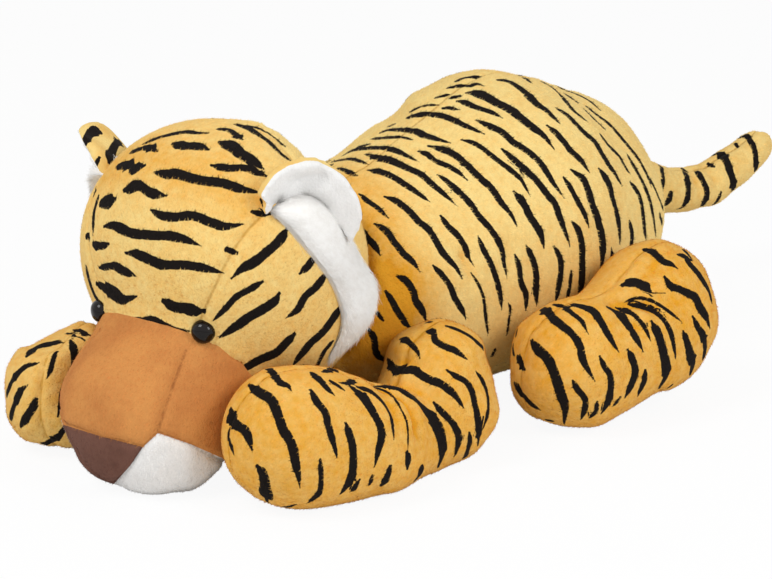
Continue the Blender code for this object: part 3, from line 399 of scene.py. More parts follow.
# Folds in the stuffed parts: depth as a share of the fold depth, then pixels of the photograph
FOLDS = {
    "front_leg_left": (
        (1.0, (372, 383), (390, 391), (405, 402), (414, 418), (419, 440)),
        (0.6, (374, 384), (386, 396), (396, 412), (399, 430)),
        (0.5, (378, 382), (400, 384), (420, 392), (436, 406)),
        (0.5, (388, 362), (404, 362), (422, 366)),
    ),
    "hind_leg_left": (
        (1.0, (615, 302), (630, 303), (646, 306), (660, 313)),
        (0.7, (614, 303), (626, 311), (637, 324), (644, 340)),
        (0.5, (612, 303), (618, 314), (626, 330)),
        (0.5, (640, 282), (652, 268), (660, 252)),
        (0.4, (655, 300), (672, 300), (688, 308)),
    ),
    "torso": (
        (0.6, (458, 246), (466, 260), (476, 284)),
        (0.4, (385, 252), (392, 270), (398, 292)),
        (0.4, (500, 236), (508, 252), (512, 270)),
    ),
    "ear_left": (
        (0.7, (292, 184), (305, 181), (318, 178), (327, 174)),
        (0.8, (297, 188), (309, 200), (322, 210), (336, 222)),
    ),
    "tail": (
        (0.5, (691, 171), (696, 179), (698, 190)),
        (0.4, (706, 168), (713, 176), (719, 188)),
    ),
}

# Outlines and seams in the photograph, and what they bound; the head's are mirrored to its far side
NOSE_OUTLINE = ((30, 414), (64, 425), (100, 436), (143, 447), (130, 466), (112, 486), (100, 510), (30, 510))
CHIN_OUTLINE = ((143, 447), (158, 433), (190, 444), (222, 458), (245, 470), (245, 520), (100, 510), (112, 486),
                (130, 466))
RUFF_OUTLINE = ((268, 211), (286, 227), (310, 254), (326, 275), (339, 301), (342, 324), (335, 347), (327, 359),
                (345, 350), (370, 318), (374, 293), (374, 278), (360, 261), (352, 243), (345, 222), (331, 206),
                (311, 192), (285, 195))
HEAD_SEAMS = (
    ((198, 326), (206, 306), (216, 284), (230, 256), (247, 231), (266, 212)),
    ((186, 350), (176, 378), (166, 408), (158, 433)),
)
CUP_BOTTOM = 228
NOSE_WRAP = 0.02
EYE_PIXELS = {"left": (203, 332), "right": (100, 311)}
PIXEL_SIZE = 0.00057

# Ruff: pairs of pixels on its seam and on its free edge, then how it is rounded and combed
RUFF_EDGES = (
    ((268, 211), (285, 197)), ((277, 219), (306, 194)), ((286, 227), (329, 206)), ((298, 240), (343, 222)),
    ((310, 254), (352, 242)), ((322, 269), (361, 259)), ((331, 283), (372, 277)), ((338, 299), (375, 293)),
    ((341, 312), (373, 307)), ((342, 324), (368, 322)), ((338, 340), (354, 341)), ((328, 358), (331, 358)),
)
RUFF_ROWS = 56
RUFF_COLUMNS = 16
RUFF_EVENING = 8
RUFF_HEIGHT = 0.0065
RUFF_THICKNESS = 0.010
RUFF_HEM_SHARE = 0.1
RUFF_ROUNDNESS = 0.6
RUFF_LEAN = 0.8
RUFF_TUCK = 0.0016
RUFF_END_SHARE = 0.12
RUFF_FLARE = 0.55

# Moves across the view: pairs of pixels, on the plain skins and then on the photograph
WARP_REACH = 17
WARP_EASE = 0.12
WARPS = {
    "ear_left": (
        ((264, 212), (266, 212)), ((283, 185), (263, 192)), ((297, 165), (275, 172)), ((314, 152), (300, 161)),
        ((335, 155), (325, 163)), ((352, 169), (350, 180)), ((355, 190), (361, 205)), ((353, 215), (360, 225)),
        ((348, 236), (353, 242)), ((305, 197), (303, 201)),
    ),
    "ear_right": (
        ((79, 157), (79, 135)), ((88, 133), (80, 124)), ((100, 127), (92, 122)), ((114, 138), (118, 136)),
        ((119, 152), (131, 148)), ((96, 183), (111, 177)), ((86, 190), (106, 172)), ((81, 179), (92, 158)),
    ),
    "front_leg_left": (
        ((439, 329), (443, 317)), ((470, 336), (474, 327)), ((412, 340), (410, 334)), ((498, 374), (494, 371)),
        ((411, 477), (413, 483)), ((440, 459), (444, 468)), ((462, 445), (468, 458)), ((484, 422), (489, 430)),
        ((370, 377), (374, 385)), ((285, 365), (280, 367)), ((230, 420), (230, 420)), ((300, 508), (300, 508)),
        ((350, 500), (350, 500)),
    ),
    "torso": (
        ((381, 108), (384, 119)), ((370, 130), (380, 131)), ((350, 142), (356, 145)), ((428, 85), (430, 85)),
        ((489, 74), (487, 68)), ((450, 78), (450, 74)), ((535, 79), (538, 75)), ((400, 150), (400, 150)),
        ((460, 120), (460, 120)), ((520, 120), (520, 120)), ((590, 110), (590, 108)), ((643, 152), (640, 152)),
    ),
    "tail": (
        ((658, 168), (652, 161)), ((678, 164), (680, 166)), ((700, 151), (704, 159)), ((728, 128), (737, 138)),
        ((739, 121), (755, 130)), ((754, 141), (766, 148)), ((743, 168), (752, 177)), ((720, 192), (724, 200)),
        ((689, 208), (689, 209)), ((666, 210), (662, 208)),
    ),
    "hind_leg_left": (
        ((651, 247), (657, 238)), ((625, 262), (628, 255)), ((690, 262), (690, 255)), ((708, 306), (709, 314)),
        ((685, 370), (683, 380)), ((503, 356), (508, 350)), ((540, 298), (540, 302)), ((562, 428), (562, 424)),
    ),
    "head": (
        ((288, 130), (274, 130)), ((310, 142), (290, 144)), ((333, 158), (308, 160)), ((360, 190), (348, 190)),
        ((373, 225), (363, 227)), ((375, 255), (366, 256)), ((250, 122), (249, 122)), ((225, 120), (225, 121)),
        ((260, 160), (258, 160)), ((300, 200), (300, 200)), ((320, 240), (320, 240)), ((340, 280), (340, 280)),
        ((150, 483), (150, 489)), ((200, 478), (203, 486)), ((93, 475), (90, 479)), ((222, 465), (226, 470)),
        ((64, 425), (64, 425)), ((250, 400), (250, 400)), ((240, 440), (240, 440)), ((150, 440), (150, 440)),
    ),
    "front_leg_right": (
        ((50, 312), (58, 332)), ((30, 320), (33, 343)), ((10, 345), (14, 355)), ((0, 380), (5, 385)),
        ((75, 322), (85, 330)), ((20, 430), (18, 434)), ((50, 448), (48, 445)),
    ),
}

# Warmer spots of the plush: pixel, reach in pixels, amount; the head's are deeper blotches of the plush, the
# torso's are painted shade on the chest by the ruff
WARM_BLOTCHES_AND_SHADE = {
    "head": ((215, 182, 40, 0.34), (178, 172, 26, 0.22), (250, 205, 24, 0.2)),
    "torso": ((385, 320, 42, 0.6), (400, 285, 30, 0.3)),
}


def photo_axes():
    """Give the photograph camera's right, up and backward directions."""
    back = Vector((math.sin(AZIMUTH) * math.cos(ELEVATION), -math.cos(AZIMUTH) * math.cos(ELEVATION),
                   math.sin(ELEVATION)))
    right = Vector((math.cos(AZIMUTH), math.sin(AZIMUTH), 0))
    return right, back.cross(right), back


RIGHT, UPWARD, BACKWARD = photo_axes()
EYE_POINT = AIM + BACKWARD * DISTANCE


def photo_ray(pixel):
    """Give the direction from the photograph's camera through a pixel."""
    across = (pixel[0] - PHOTO_WIDTH / 2) / FOCAL_PIXELS
    down = (pixel[1] - PHOTO_HEIGHT / 2) / FOCAL_PIXELS
    return (RIGHT * across - UPWARD * down - BACKWARD).normalized()


def pixels_of(places):
    """Give the photograph's pixel of each place."""
    sight = places - np.array(EYE_POINT)
    depth = -(sight @ np.array(BACKWARD))
    across = PHOTO_WIDTH / 2 + sight @ np.array(RIGHT) / depth * FOCAL_PIXELS
    down = PHOTO_HEIGHT / 2 - sight @ np.array(UPWARD) / depth * FOCAL_PIXELS
    return np.stack((across, down), axis=1)


def inside_outline(places, outline):
    """Give how far inside an outline of the photograph each place lies, negative outside it."""
    spots = pixels_of(places)
    corners = np.array(outline, float)
    nearest = np.full(len(spots), np.inf)
    inside = np.zeros(len(spots), bool)
    for start, end in zip(corners, np.roll(corners, -1, axis=0)):
        run = end - start
        share = np.clip((spots - start) @ run / (run @ run), 0, 1)
        nearest = np.minimum(nearest, np.linalg.norm(spots - start - share[:, None] * run, axis=1))
        if run[1]:
            crossed = (start[1] > spots[:, 1]) != (end[1] > spots[:, 1])
            inside ^= crossed & (spots[:, 0] < start[0] + run[0] * (spots[:, 1] - start[1]) / run[1])
    return np.where(inside, nearest, -nearest) * PIXEL_SIZE


def near_side(places):
    """Mirror the places on the head's far side to its near side."""
    aside = np.minimum((places - HEAD_MIDDLE) @ HEAD_ASIDE, 0)
    return places - 2 * aside[:, None] * HEAD_ASIDE


def ruff_depth(places, normals):
    """Give how far inside the ruff's outline each place of the head lies, on both sides."""
    far = (places - HEAD_MIDDLE) @ HEAD_ASIDE < 0
    turned = normals - 2 * (normals @ HEAD_ASIDE)[:, None] * HEAD_ASIDE
    outward = np.where(far[:, None], turned, normals)
    shown = near_side(places)
    facing = np.einsum("ij,ij->i", outward, np.array(EYE_POINT) - shown) > 0
    in_cup = pixels_of(shown)[:, 1] < CUP_BOTTOM
    return np.where(facing & in_cup, inside_outline(shown, RUFF_OUTLINE), -FAR_AWAY)


def evened(rows, rounds):
    """Even out rows of numbers along both ways, with the ends held."""
    for _ in range(rounds):
        for turned in (rows, rows.T) if rows.ndim > 1 else (rows,):
            turned[1:-1] = (turned[:-2] + 2 * turned[1:-1] + turned[2:]) / 4
    return rows


def mirrored_aside(places):
    """Mirror places to the other side of the head."""
    return places - 2 * ((places - HEAD_MIDDLE) @ HEAD_ASIDE)[:, None] * HEAD_ASIDE


def loft_ruff(side):
    """Loft a smooth ruff between its two edges in the photograph; give it and the run of its middle line."""
    tree = tree_of(skins["head"])
    eye = np.array(EYE_POINT)
    solid = read_skin(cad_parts["cheek_ruff_left"])[0]
    solid_pixels = pixels_of(solid)
    stations = np.linspace(0, len(RUFF_EDGES) - 1, RUFF_ROWS)
    corners = np.array(RUFF_EDGES, float)
    inner, outer = (np.stack([np.interp(stations, range(len(corners)), corners[:, edge, way])
                              for way in (0, 1)], axis=1) for edge in (0, 1))
    for edge in (inner, outer):
        for way in (0, 1):
            edge[:, way] = evened(edge[:, way].copy(), RUFF_EVENING)
    shares = np.linspace(0, 1, RUFF_COLUMNS)
    pixels = inner[:, None] + (outer - inner)[:, None] * shares[:, None]
    rays = np.array([[photo_ray(pixel) for pixel in row] for row in pixels])
    hits = [[tree.ray_cast(EYE_POINT, Vector(ray))[3] for ray in row] for row in rays]
    reach = np.array([[np.inf if hit is None else hit for hit in row] for row in hits])
    nearest = np.array([np.linalg.norm(solid_pixels - pixel, axis=1).argmin() for pixel in outer])
    ends = np.where(np.isinf(reach[:, -1]), np.linalg.norm(solid[nearest] - eye, axis=1), reach[:, -1])
    ends = evened(ends, RUFF_EVENING * 2)
    reach = np.minimum(reach, reach[:, :1] + (ends - reach[:, 0])[:, None] * shares)
    along = np.linspace(0, 1, RUFF_ROWS)[:, None]
    fade = np.clip(np.minimum(along, 1 - along) / RUFF_END_SHARE, 0, 1) ** 0.5
    swell = np.sin(math.pi * shares ** RUFF_LEAN) ** RUFF_ROUNDNESS
    reach = evened(reach, RUFF_EVENING // 2) - RUFF_HEIGHT * fade * swell
    reach[:, 0] += RUFF_TUCK
    filling = fade * np.sin(math.pi * shares) ** RUFF_ROUNDNESS
    thickness = RUFF_THICKNESS * (RUFF_HEM_SHARE + (1 - RUFF_HEM_SHARE) * filling)
    front = eye + rays * reach[:, :, None]
    rear = eye + rays * (reach + thickness)[:, :, None]
    rings = np.concatenate((front, rear[:, ::-1]), axis=1)
    middle = front[:, RUFF_COLUMNS // 2]
    if side == "right":
        rings = mirrored_aside(rings.reshape(-1, 3)).reshape(rings.shape)
        middle = mirrored_aside(middle)
    size = rings.shape[1]
    faces = [(row * size + spot, row * size + (spot + 1) % size,
              (row + 1) * size + (spot + 1) % size, (row + 1) * size + spot)
             for row in range(RUFF_ROWS - 1) for spot in range(size)]
    faces += [tuple(range(size)), tuple(range((RUFF_ROWS - 1) * size, RUFF_ROWS * size))]
    mesh = bpy.data.meshes.new("ruff_" + side + "_skin")
    mesh.from_pydata(rings.reshape(-1, 3).tolist(), [], faces)
    shape = bmesh.new()
    shape.from_mesh(mesh)
    bmesh.ops.recalc_face_normals(shape, faces=shape.faces)
    shape.to_mesh(mesh)
    shape.free()
    mesh.shade_smooth()
    return add_object("ruff_" + side + "_skin", mesh), middle


def warp(skin, moves):
    """Move a skin across the photograph's view so that its outline follows the photograph's."""
    places, normals = read_skin(skin)
    spots = pixels_of(places)
    total = np.full(len(spots), WARP_EASE)
    shift = np.zeros((len(spots), 2))
    for start, end in moves:
        weight = np.exp(-(np.linalg.norm(spots - start, axis=1) / WARP_REACH) ** 2)
        total += weight
        shift += weight[:, None] * (np.array(end) - start)
    shift *= (np.linalg.norm(places - np.array(EYE_POINT), axis=1) / FOCAL_PIXELS / total)[:, None]
    write_places(skin, places + shift[:, :1] * np.array(RIGHT) - shift[:, 1:] * np.array(UPWARD))


def node_mesh(nodes):
    """Join CAD nodes into one bmesh in the row frame."""
    joined = bmesh.new()
    for node in nodes:
        joined.from_mesh(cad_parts[node].data)
    return joined


def add_object(name, mesh):
    """Link a new object with this mesh into the scene."""
    made = bpy.data.objects.new(name, mesh)
    bpy.context.scene.collection.objects.link(made)
    return made


def applied(made):
    """Apply an object's modifiers."""
    bpy.context.view_layer.update()
    graph = bpy.context.evaluated_depsgraph_get()
    mesh = bpy.data.meshes.new_from_object(made.evaluated_get(graph), depsgraph=graph)
    made.modifiers.clear()
    made.data = mesh
    return made


def smooth_skin(name, nodes, voxel, rounds, halvings, push):
    """Make one closed, smooth skin over CAD nodes."""
    joined = node_mesh(nodes)
    mesh = bpy.data.meshes.new(name)
    joined.to_mesh(mesh)
    joined.free()
    made = add_object(name, mesh)
    remesh = made.modifiers.new("Join", "REMESH")
    remesh.mode = "VOXEL"
    remesh.voxel_size = voxel
    smooth = made.modifiers.new("Smooth", "SMOOTH")
    smooth.factor = 0.5
    smooth.iterations = rounds
    halve = made.modifiers.new("Halve", "SUBSURF")
    halve.levels = halvings
    halve.render_levels = halvings
    applied(made)
    made.data.materials.clear()
    made.data.shade_smooth()
    places, normals = read_skin(made)
    write_places(made, places + normals * push)
    return made


def read_skin(made):
    """Give a mesh's vertex places and normals as arrays."""
    count = len(made.data.vertices)
    places = np.empty(count * 3)
    made.data.vertices.foreach_get("co", places)
    normals = np.empty(count * 3)
    made.data.vertices.foreach_get("normal", normals)
    return places.reshape(-1, 3), normals.reshape(-1, 3)


def write_places(made, places):
    """Move a mesh's vertices."""
    made.data.vertices.foreach_set("co", places.ravel())
    made.data.update()


def write_values(made, name, values):
    """Keep one number for each vertex, for the materials to read."""
    attribute = made.data.attributes.get(name) or made.data.attributes.new(name, "FLOAT", "POINT")
    attribute.data.foreach_set("value", np.asarray(values, np.float32))


def read_values(made, name):
    """Read the number kept for each vertex."""
    values = np.empty(len(made.data.vertices), np.float32)
    made.data.attributes[name].data.foreach_get("value", values)
    return values


def unit(vectors):
    """Scale vectors to length 1."""
    return vectors / np.linalg.norm(vectors, axis=1)[:, None]


def tree_of(*pieces):
    """Make the search tree of some objects' meshes."""
    places = []
    faces = []
    for piece in pieces:
        start = len(places)
        places += [vertex.co for vertex in piece.data.vertices]
        faces += [tuple(start + index for index in face.vertices) for face in piece.data.polygons]
    return BVHTree.FromPolygons(places, faces)


def distances_to(node, places):
    """Give each place's distance to a CAD node."""
    tree = tree_of(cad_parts[node])
    return np.array([tree.find_nearest(place)[3] for place in places.tolist()])


def noise_at(places, length, shift=0.0):
    """Give smooth noise at places, with bumps of about this length."""
    return np.array([noise.noise(Vector(place) / length + Vector((shift, shift, shift)))
                     for place in places.tolist()])


def smooth_path(points, step):
    """Give points about a step apart on a smooth curve through a stroke's pixels."""
    spots = [Vector(point) for point in points]
    spots = [2 * spots[0] - spots[1]] + spots + [2 * spots[-1] - spots[-2]]
    path = []
    for before, start, end, after in zip(spots, spots[1:], spots[2:], spots[3:]):
        count = max(1, round((end - start).length / step))
        for index in range(count):
            share = index / count
            path.append(0.5 * (2 * start + (end - before) * share
                               + (2 * before - 5 * start + 4 * end - after) * share ** 2
                               + (3 * start - before - 3 * end + after) * share ** 3))
    path.append(spots[-2])
    return path


def leg_panels(name):
    """List a leg's two panels."""
    return [name + "_outer_panel", name + "_inner_panel"]


def taper(share):
    """Give a stripe's width along its length as a share of its full width."""
    head = min(1, share / STRIPE_HEAD_SHARE) ** 0.5
    tail = min(1, (1 - share) / STRIPE_TAIL_SHARE) ** 0.6
    return head * tail


def trace_stripes(skin, strokes):
    """Cast the photograph's strokes onto a skin: each step's middle, way across and half width."""
    tree = tree_of(skin)
    steps = []
    for width, *points in strokes:
        path = smooth_path(points, STRIPE_STEP)
        stroke = []
        for index, pixel in enumerate(path):
            heading = (path[min(index + 1, len(path) - 1)] - path[max(index - 1, 0)]).normalized()
            aside = Vector((-heading.y, heading.x)) * width / 2 * STRIPE_WIDENING
            spot, normal = tree.ray_cast(EYE_POINT, photo_ray(pixel))[:2]
            if spot is None or normal.dot((EYE_POINT - spot).normalized()) < STRIPE_FACING:
                continue
            plain = (RIGHT * aside.x - UPWARD * aside.y) * (spot - EYE_POINT).length / FOCAL_PIXELS
            edges = [tree.ray_cast(EYE_POINT, photo_ray(pixel + way * aside))[0] for way in (-1, 1)]
            across = plain * 2
            if None not in edges and (edges[1] - edges[0]).length < STRIPE_SPREAD_MAX * across.length:
                across = edges[1] - edges[0]
            stroke.append((spot, across.normalized(), across.length / 2 * taper(index / (len(path) - 1))))
        for before, step, after in zip(stroke, stroke[1:], stroke[2:]):
            if min((step[0] - before[0]).length, (step[0] - after[0]).length) < STRIPE_LEAP:
                steps.append(step)
    return steps


def mirrored(steps):
    """Mirror stripes to the tiger's other side."""
    flip = Matrix.Diagonal((-1, 1, 1))
    return [(flip @ spot, flip @ across, half) for spot, across, half in steps]


def seen_in_photo(places, normals, scene_tree):
    """Tell which places the photograph shows."""
    seen = np.zeros(len(places), bool)
    eye = np.array(EYE_POINT)
    facing = np.einsum("ij,ij->i", normals, eye - places) > 0
    for index in np.nonzero(facing)[0]:
        place = Vector(places[index])
        sight = place - EYE_POINT
        spot = scene_tree.ray_cast(EYE_POINT, sight.normalized())[0]
        seen[index] = spot is None or (spot - EYE_POINT).length > sight.length - SIGHT_SLACK
    return seen


def nearest_steps(places, steps):
    """Give, at each place, the nearest stripe's distance, distance across and half width."""
    if not steps:
        return np.full(len(places), FAR_AWAY), np.full(len(places), FAR_AWAY), np.zeros(len(places))
    tree = KDTree(len(steps))
    for index, (spot, across, half) in enumerate(steps):
        tree.insert(spot, index)
    tree.balance()
    found = [tree.find(place) for place in places.tolist()]
    indices = np.array([index for spot, index, distance in found])
    distances = np.array([distance for spot, index, distance in found])
    spots = np.array([spot for spot, across, half in steps])[indices]
    ways = np.array([across for spot, across, half in steps])[indices]
    halves = np.array([half for spot, across, half in steps])[indices]
    return distances, np.einsum("ij,ij->i", places - spots, ways), halves


def paint_stripes(skin, strokes, heading, copied, scene_tree, bending=0.0):
    """Keep a skin's stripes as distances on its vertices."""
    places, normals = read_skin(skin)
    traced = trace_stripes(skin, strokes)
    seen = seen_in_photo(places, normals, scene_tree)
    traced_tree = KDTree(max(1, len(traced)))
    for index, step in enumerate(traced):
        traced_tree.insert(step[0], index)
    traced_tree.balance()
    finder = KDTree(len(places))
    for index, place in enumerate(places.tolist()):
        finder.insert(place, index)
    finder.balance()
    hidden = []
    for step in copied:
        index = finder.find(step[0])[1]
        near = traced_tree.find(step[0])[2] if traced else FAR_AWAY
        if not seen[index] and near > MIRROR_CLEARANCE:
            hidden.append(step)
    traced = traced + hidden
    distances, across, halves = nearest_steps(places, traced)
    middle = places.mean(axis=0)
    spokes = (places - middle) * (1, 0, 1)
    reach = np.linalg.norm(spokes, axis=1)
    bend = bending * np.clip((places - middle)[:, 1] / BEND_START, 0, 1)
    slope = np.array(heading) - bend[:, None] * spokes / reach[:, None]
    slope -= normals * np.einsum("ij,ij->i", slope, normals)[:, None]
    steepness = np.maximum(np.linalg.norm(slope, axis=1), STEEPNESS_MIN)
    wander = GROWN_WANDER * noise_at(places, GROWN_WANDER_LENGTH, 3)
    phase = (places @ np.array(heading) - bend * reach) / GROWN_SPACING + wander
    lines = np.round(phase)
    grown_across = (phase - lines) * GROWN_SPACING / steepness
    shifted = places + lines[:, None] * np.array(GROWN_SHIFT)
    swell = GROWN_SHARE + GROWN_SWELL * noise_at(shifted, GROWN_LENGTH)
    grown_half = GROWN_WIDTH / 2 * np.clip(swell, -1, 1)
    room = np.clip((distances - GROWN_CLEARANCE) / GROWN_FADE, 0, 1)
    room *= np.clip((np.linalg.norm(slope, axis=1) - STEEPNESS_MIN) / STEEPNESS_MIN, 0, 1)
    grown_half = np.where(seen, 0, grown_half * room)
    grown = (grown_half > 0) & (np.abs(grown_across) - grown_half < np.abs(across) - halves)
    grown |= (distances > GROWN_CLEARANCE + GROWN_FADE) & ~seen
    write_values(skin, "stripe_across", np.where(grown, grown_across, across))
    write_values(skin, "stripe_half", np.where(grown, grown_half, halves))
    write_values(skin, "stripe_distance", np.where(grown, np.abs(grown_across), distances))
    return traced


def press_folds(skin, folds):
    """Press the photograph's folds into a skin, with a low ridge on both sides."""
    tree = tree_of(skin)
    places, normals = read_skin(skin)
    depth = np.zeros(len(places))
    for share, *points in folds:
        path = smooth_path(points, FOLD_STEP)
        finder = KDTree(len(path))
        weights = []
        for index, pixel in enumerate(path):
            spot = tree.ray_cast(EYE_POINT, photo_ray(pixel))[0]
            if spot is not None:
                finder.insert(spot, len(weights))
                weights.append(math.sin(math.pi * (index + 1) / (len(path) + 1)) ** 0.6)
        finder.balance()
        found = [finder.find(place) for place in places.tolist()]
        near = np.array([distance for spot, index, distance in found])
        weight = np.array([weights[index] for spot, index, distance in found]) * share
        depth -= FOLD_DEPTH * weight * np.exp(-(near / FOLD_REACH) ** 2)
        depth += (RIDGE_SHARE * FOLD_DEPTH * weight
                  * np.exp(-((near - RIDGE_REACHES * FOLD_REACH) / FOLD_REACH) ** 2))
    write_places(skin, places + normals * depth[:, None])
    return depth


# Skins: the body that carries each, its panels, what it hides as well, and how fine it is
LEGS = ["front_leg_left", "front_leg_right", "hind_leg_left", "hind_leg_right"]
FACE_PANELS = ["forehead_panel", "head_back_panel", "throat_panel", "cheek_panel_left", "cheek_panel_right"]
MUZZLE_PANELS = ["muzzle_top_panel", "muzzle_side_left", "muzzle_side_right", "nose_panel", "chin_panel"]
SKINS = {
    "torso": ("torso", ["back_panel_left", "back_panel_right", "belly_panel"], ["torso_stuffing"]),
    "head": ("head", FACE_PANELS + MUZZLE_PANELS, ["head_stuffing", "muzzle_stuffing"]),
    "tail": ("tail", ["tail_panel_left", "tail_panel_right"], ["tail_stuffing"]),
}
for leg in LEGS:
    SKINS[leg] = (leg, leg_panels(leg), [leg + "_stuffing"])
for side in ("left", "right"):
    SKINS["ear_" + side] = ("ear_" + side, ["ear_back_" + side, "ear_lining_" + side], [])
    SKINS["ruff_" + side] = ("head", ["cheek_ruff_" + side], [])

head_places = [read_skin(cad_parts["eye_" + side])[0].mean(axis=0) for side in ("left", "right")]
HEAD_MIDDLE = (head_places[0] + head_places[1]) / 2
HEAD_ASIDE = (head_places[0] - head_places[1]) / np.linalg.norm(head_places[0] - head_places[1])


def head_groups(distances):
    """Join the distances of panels that the photograph's own seams divide."""
    names = FACE_PANELS + MUZZLE_PANELS
    groups = (["forehead_panel", "cheek_panel_left", "cheek_panel_right"], ["head_back_panel"],
              ["throat_panel"], MUZZLE_PANELS)
    return np.array([distances[[names.index(name) for name in group]].min(axis=0) for group in groups])


def head_seams(skin, places, distances):
    """Give each place's distance to the seams that the photograph shows on the head."""
    tree = tree_of(skin)
    shown = near_side(places)
    spots = [tree.ray_cast(EYE_POINT, photo_ray(pixel))[0]
             for seam in HEAD_SEAMS for pixel in smooth_path(seam, FOLD_STEP)]
    spots = [spot for spot in spots if spot is not None]
    finder = KDTree(len(spots))
    for index, spot in enumerate(spots):
        finder.insert(spot, index)
    finder.balance()
    nearest = np.array([finder.find(place)[2] for place in shown.tolist()])
    on_muzzle = distances[3] < distances[:3].min(axis=0) + PIXEL_SIZE
    for outline in (NOSE_OUTLINE, CHIN_OUTLINE):
        edge = np.abs(inside_outline(shown, outline))
        nearest = np.where(on_muzzle, np.minimum(nearest, edge), nearest)
    return nearest


skins = {}
panel_distances = {}
for part, (body, panels, fillings) in SKINS.items():
    voxel, rounds, halvings, push = LARGE_VOXEL, SMOOTHING_ROUNDS, 2, PUSH_BACK
    if part in ("tail", "ruff_left", "ruff_right"):
        voxel = SMALL_VOXEL
    if part.startswith("ear"):
        voxel, rounds, halvings, push = EAR_VOXEL, EAR_ROUNDS, 1, EAR_PUSH_BACK
    skin = smooth_skin(part + "_skin", panels + fillings, voxel, rounds, halvings, push)
    skins[part] = skin
    places, normals = read_skin(skin)
    lumps = LUMP_HEIGHT * noise_at(places, LUMP_LENGTH, len(part))
    if len(panels) < 2 or part.startswith("ear"):
        write_values(skin, "seam", np.full(len(places), FAR_AWAY))
        if part.startswith("ear"):
            panel_distances[part] = np.array([distances_to(panel, places) for panel in panels])
            write_values(skin, "zone", panel_distances[part][0] - panel_distances[part][1])
        else:
            write_places(skin, places + normals * lumps[:, None])
        continue
    distances = np.array([distances_to(panel, places) for panel in panels])
    panel_distances[part] = distances
    if part == "head":
        distances = head_groups(distances)
    nearest = np.sort(distances, axis=0)
    seam = np.sqrt(np.maximum(nearest[1] ** 2 - nearest[0] ** 2, 0))
    if part == "head":
        seam = np.minimum(seam, head_seams(skin, places, distances))
    groove = np.exp(-(seam / SEAM_REACH) ** 2)
    pucker = np.exp(-(seam / (3 * SEAM_REACH)) ** 2) * noise_at(places, PUCKER_LENGTH)
    rise = lumps + PUCKER_DEPTH * pucker - SEAM_DEPTH * groove
    write_places(skin, places + normals * rise[:, None])
    write_values(skin, "seam", seam)
for part, moves in WARPS.items():
    warp(skins[part], moves)
write_values(skins["head"], "white", ruff_depth(*read_skin(skins["head"])))
ruff_middles = {}
for side in ("left", "right"):
    bpy.data.objects.remove(skins["ruff_" + side])
    skins["ruff_" + side], ruff_middles[side] = loft_ruff(side)
    write_values(skins["ruff_" + side], "seam", np.full(len(skins["ruff_" + side].data.vertices), FAR_AWAY))
for part, folds in FOLDS.items():
    write_values(skins[part], "fold", press_folds(skins[part], folds))
for skin in skins.values():
    places, normals = read_skin(skin)
    places[:, 2] = np.maximum(places[:, 2], 0)
    write_places(skin, places)

# Stripes
scene_tree = tree_of(*skins.values())
body_stripes = paint_stripes(skins["torso"], BODY_STRIPES, ALONG_BODY, [], scene_tree)
paint_stripes(skins["torso"], BODY_STRIPES, ALONG_BODY, mirrored(body_stripes), scene_tree, RUMP_BEND)
head_stripes = paint_stripes(skins["head"], HEAD_STRIPES, UP_HEAD, [], scene_tree)
paint_stripes(skins["head"], HEAD_STRIPES, UP_HEAD, mirrored(head_stripes), scene_tree)
hind_stripes = paint_stripes(skins["hind_leg_left"], HIND_LEG_STRIPES, ALONG_LIMB, [], scene_tree)
paint_stripes(skins["hind_leg_right"], (), ALONG_LIMB, mirrored(hind_stripes), scene_tree)
for part, strokes, heading in (
    ("front_leg_left", NEAR_ARM_STRIPES, ALONG_LIMB), ("front_leg_right", FAR_PAW_STRIPES, ALONG_LIMB),
    ("tail", TAIL_STRIPES, ALONG_LIMB), ("ear_left", NEAR_EAR_STRIPES, UP_EAR),
    ("ear_right", FAR_EAR_STRIPES, UP_EAR),
):
    paint_stripes(skins[part], strokes, heading, [], scene_tree)


def colour(red, green, blue):
    """Turn a colour as seen on a screen, 0 to 255, into the linear one that materials take."""
    shares = [level / 255 for level in (red, green, blue)]
    return tuple(c / 12.92 if c <= 0.04045 else ((c + 0.055) / 1.055) ** 2.4 for c in shares) + (1,)


PALE_YELLOW = colour(244, 215, 140)
DEEP_YELLOW = colour(228, 162, 46)
STRIPE_BLACK = colour(30, 26, 24)
BROWN = colour(216, 150, 84)
DEEP_BROWN = colour(186, 116, 64)
NOSE_BROWN = colour(122, 86, 74)
WHITE = colour(241, 240, 238)
SHADOW_WHITE = colour(234, 232, 229)
EYE_BLACK = colour(12, 10, 10)
FLOOR_WHITE = colour(250, 250, 250)


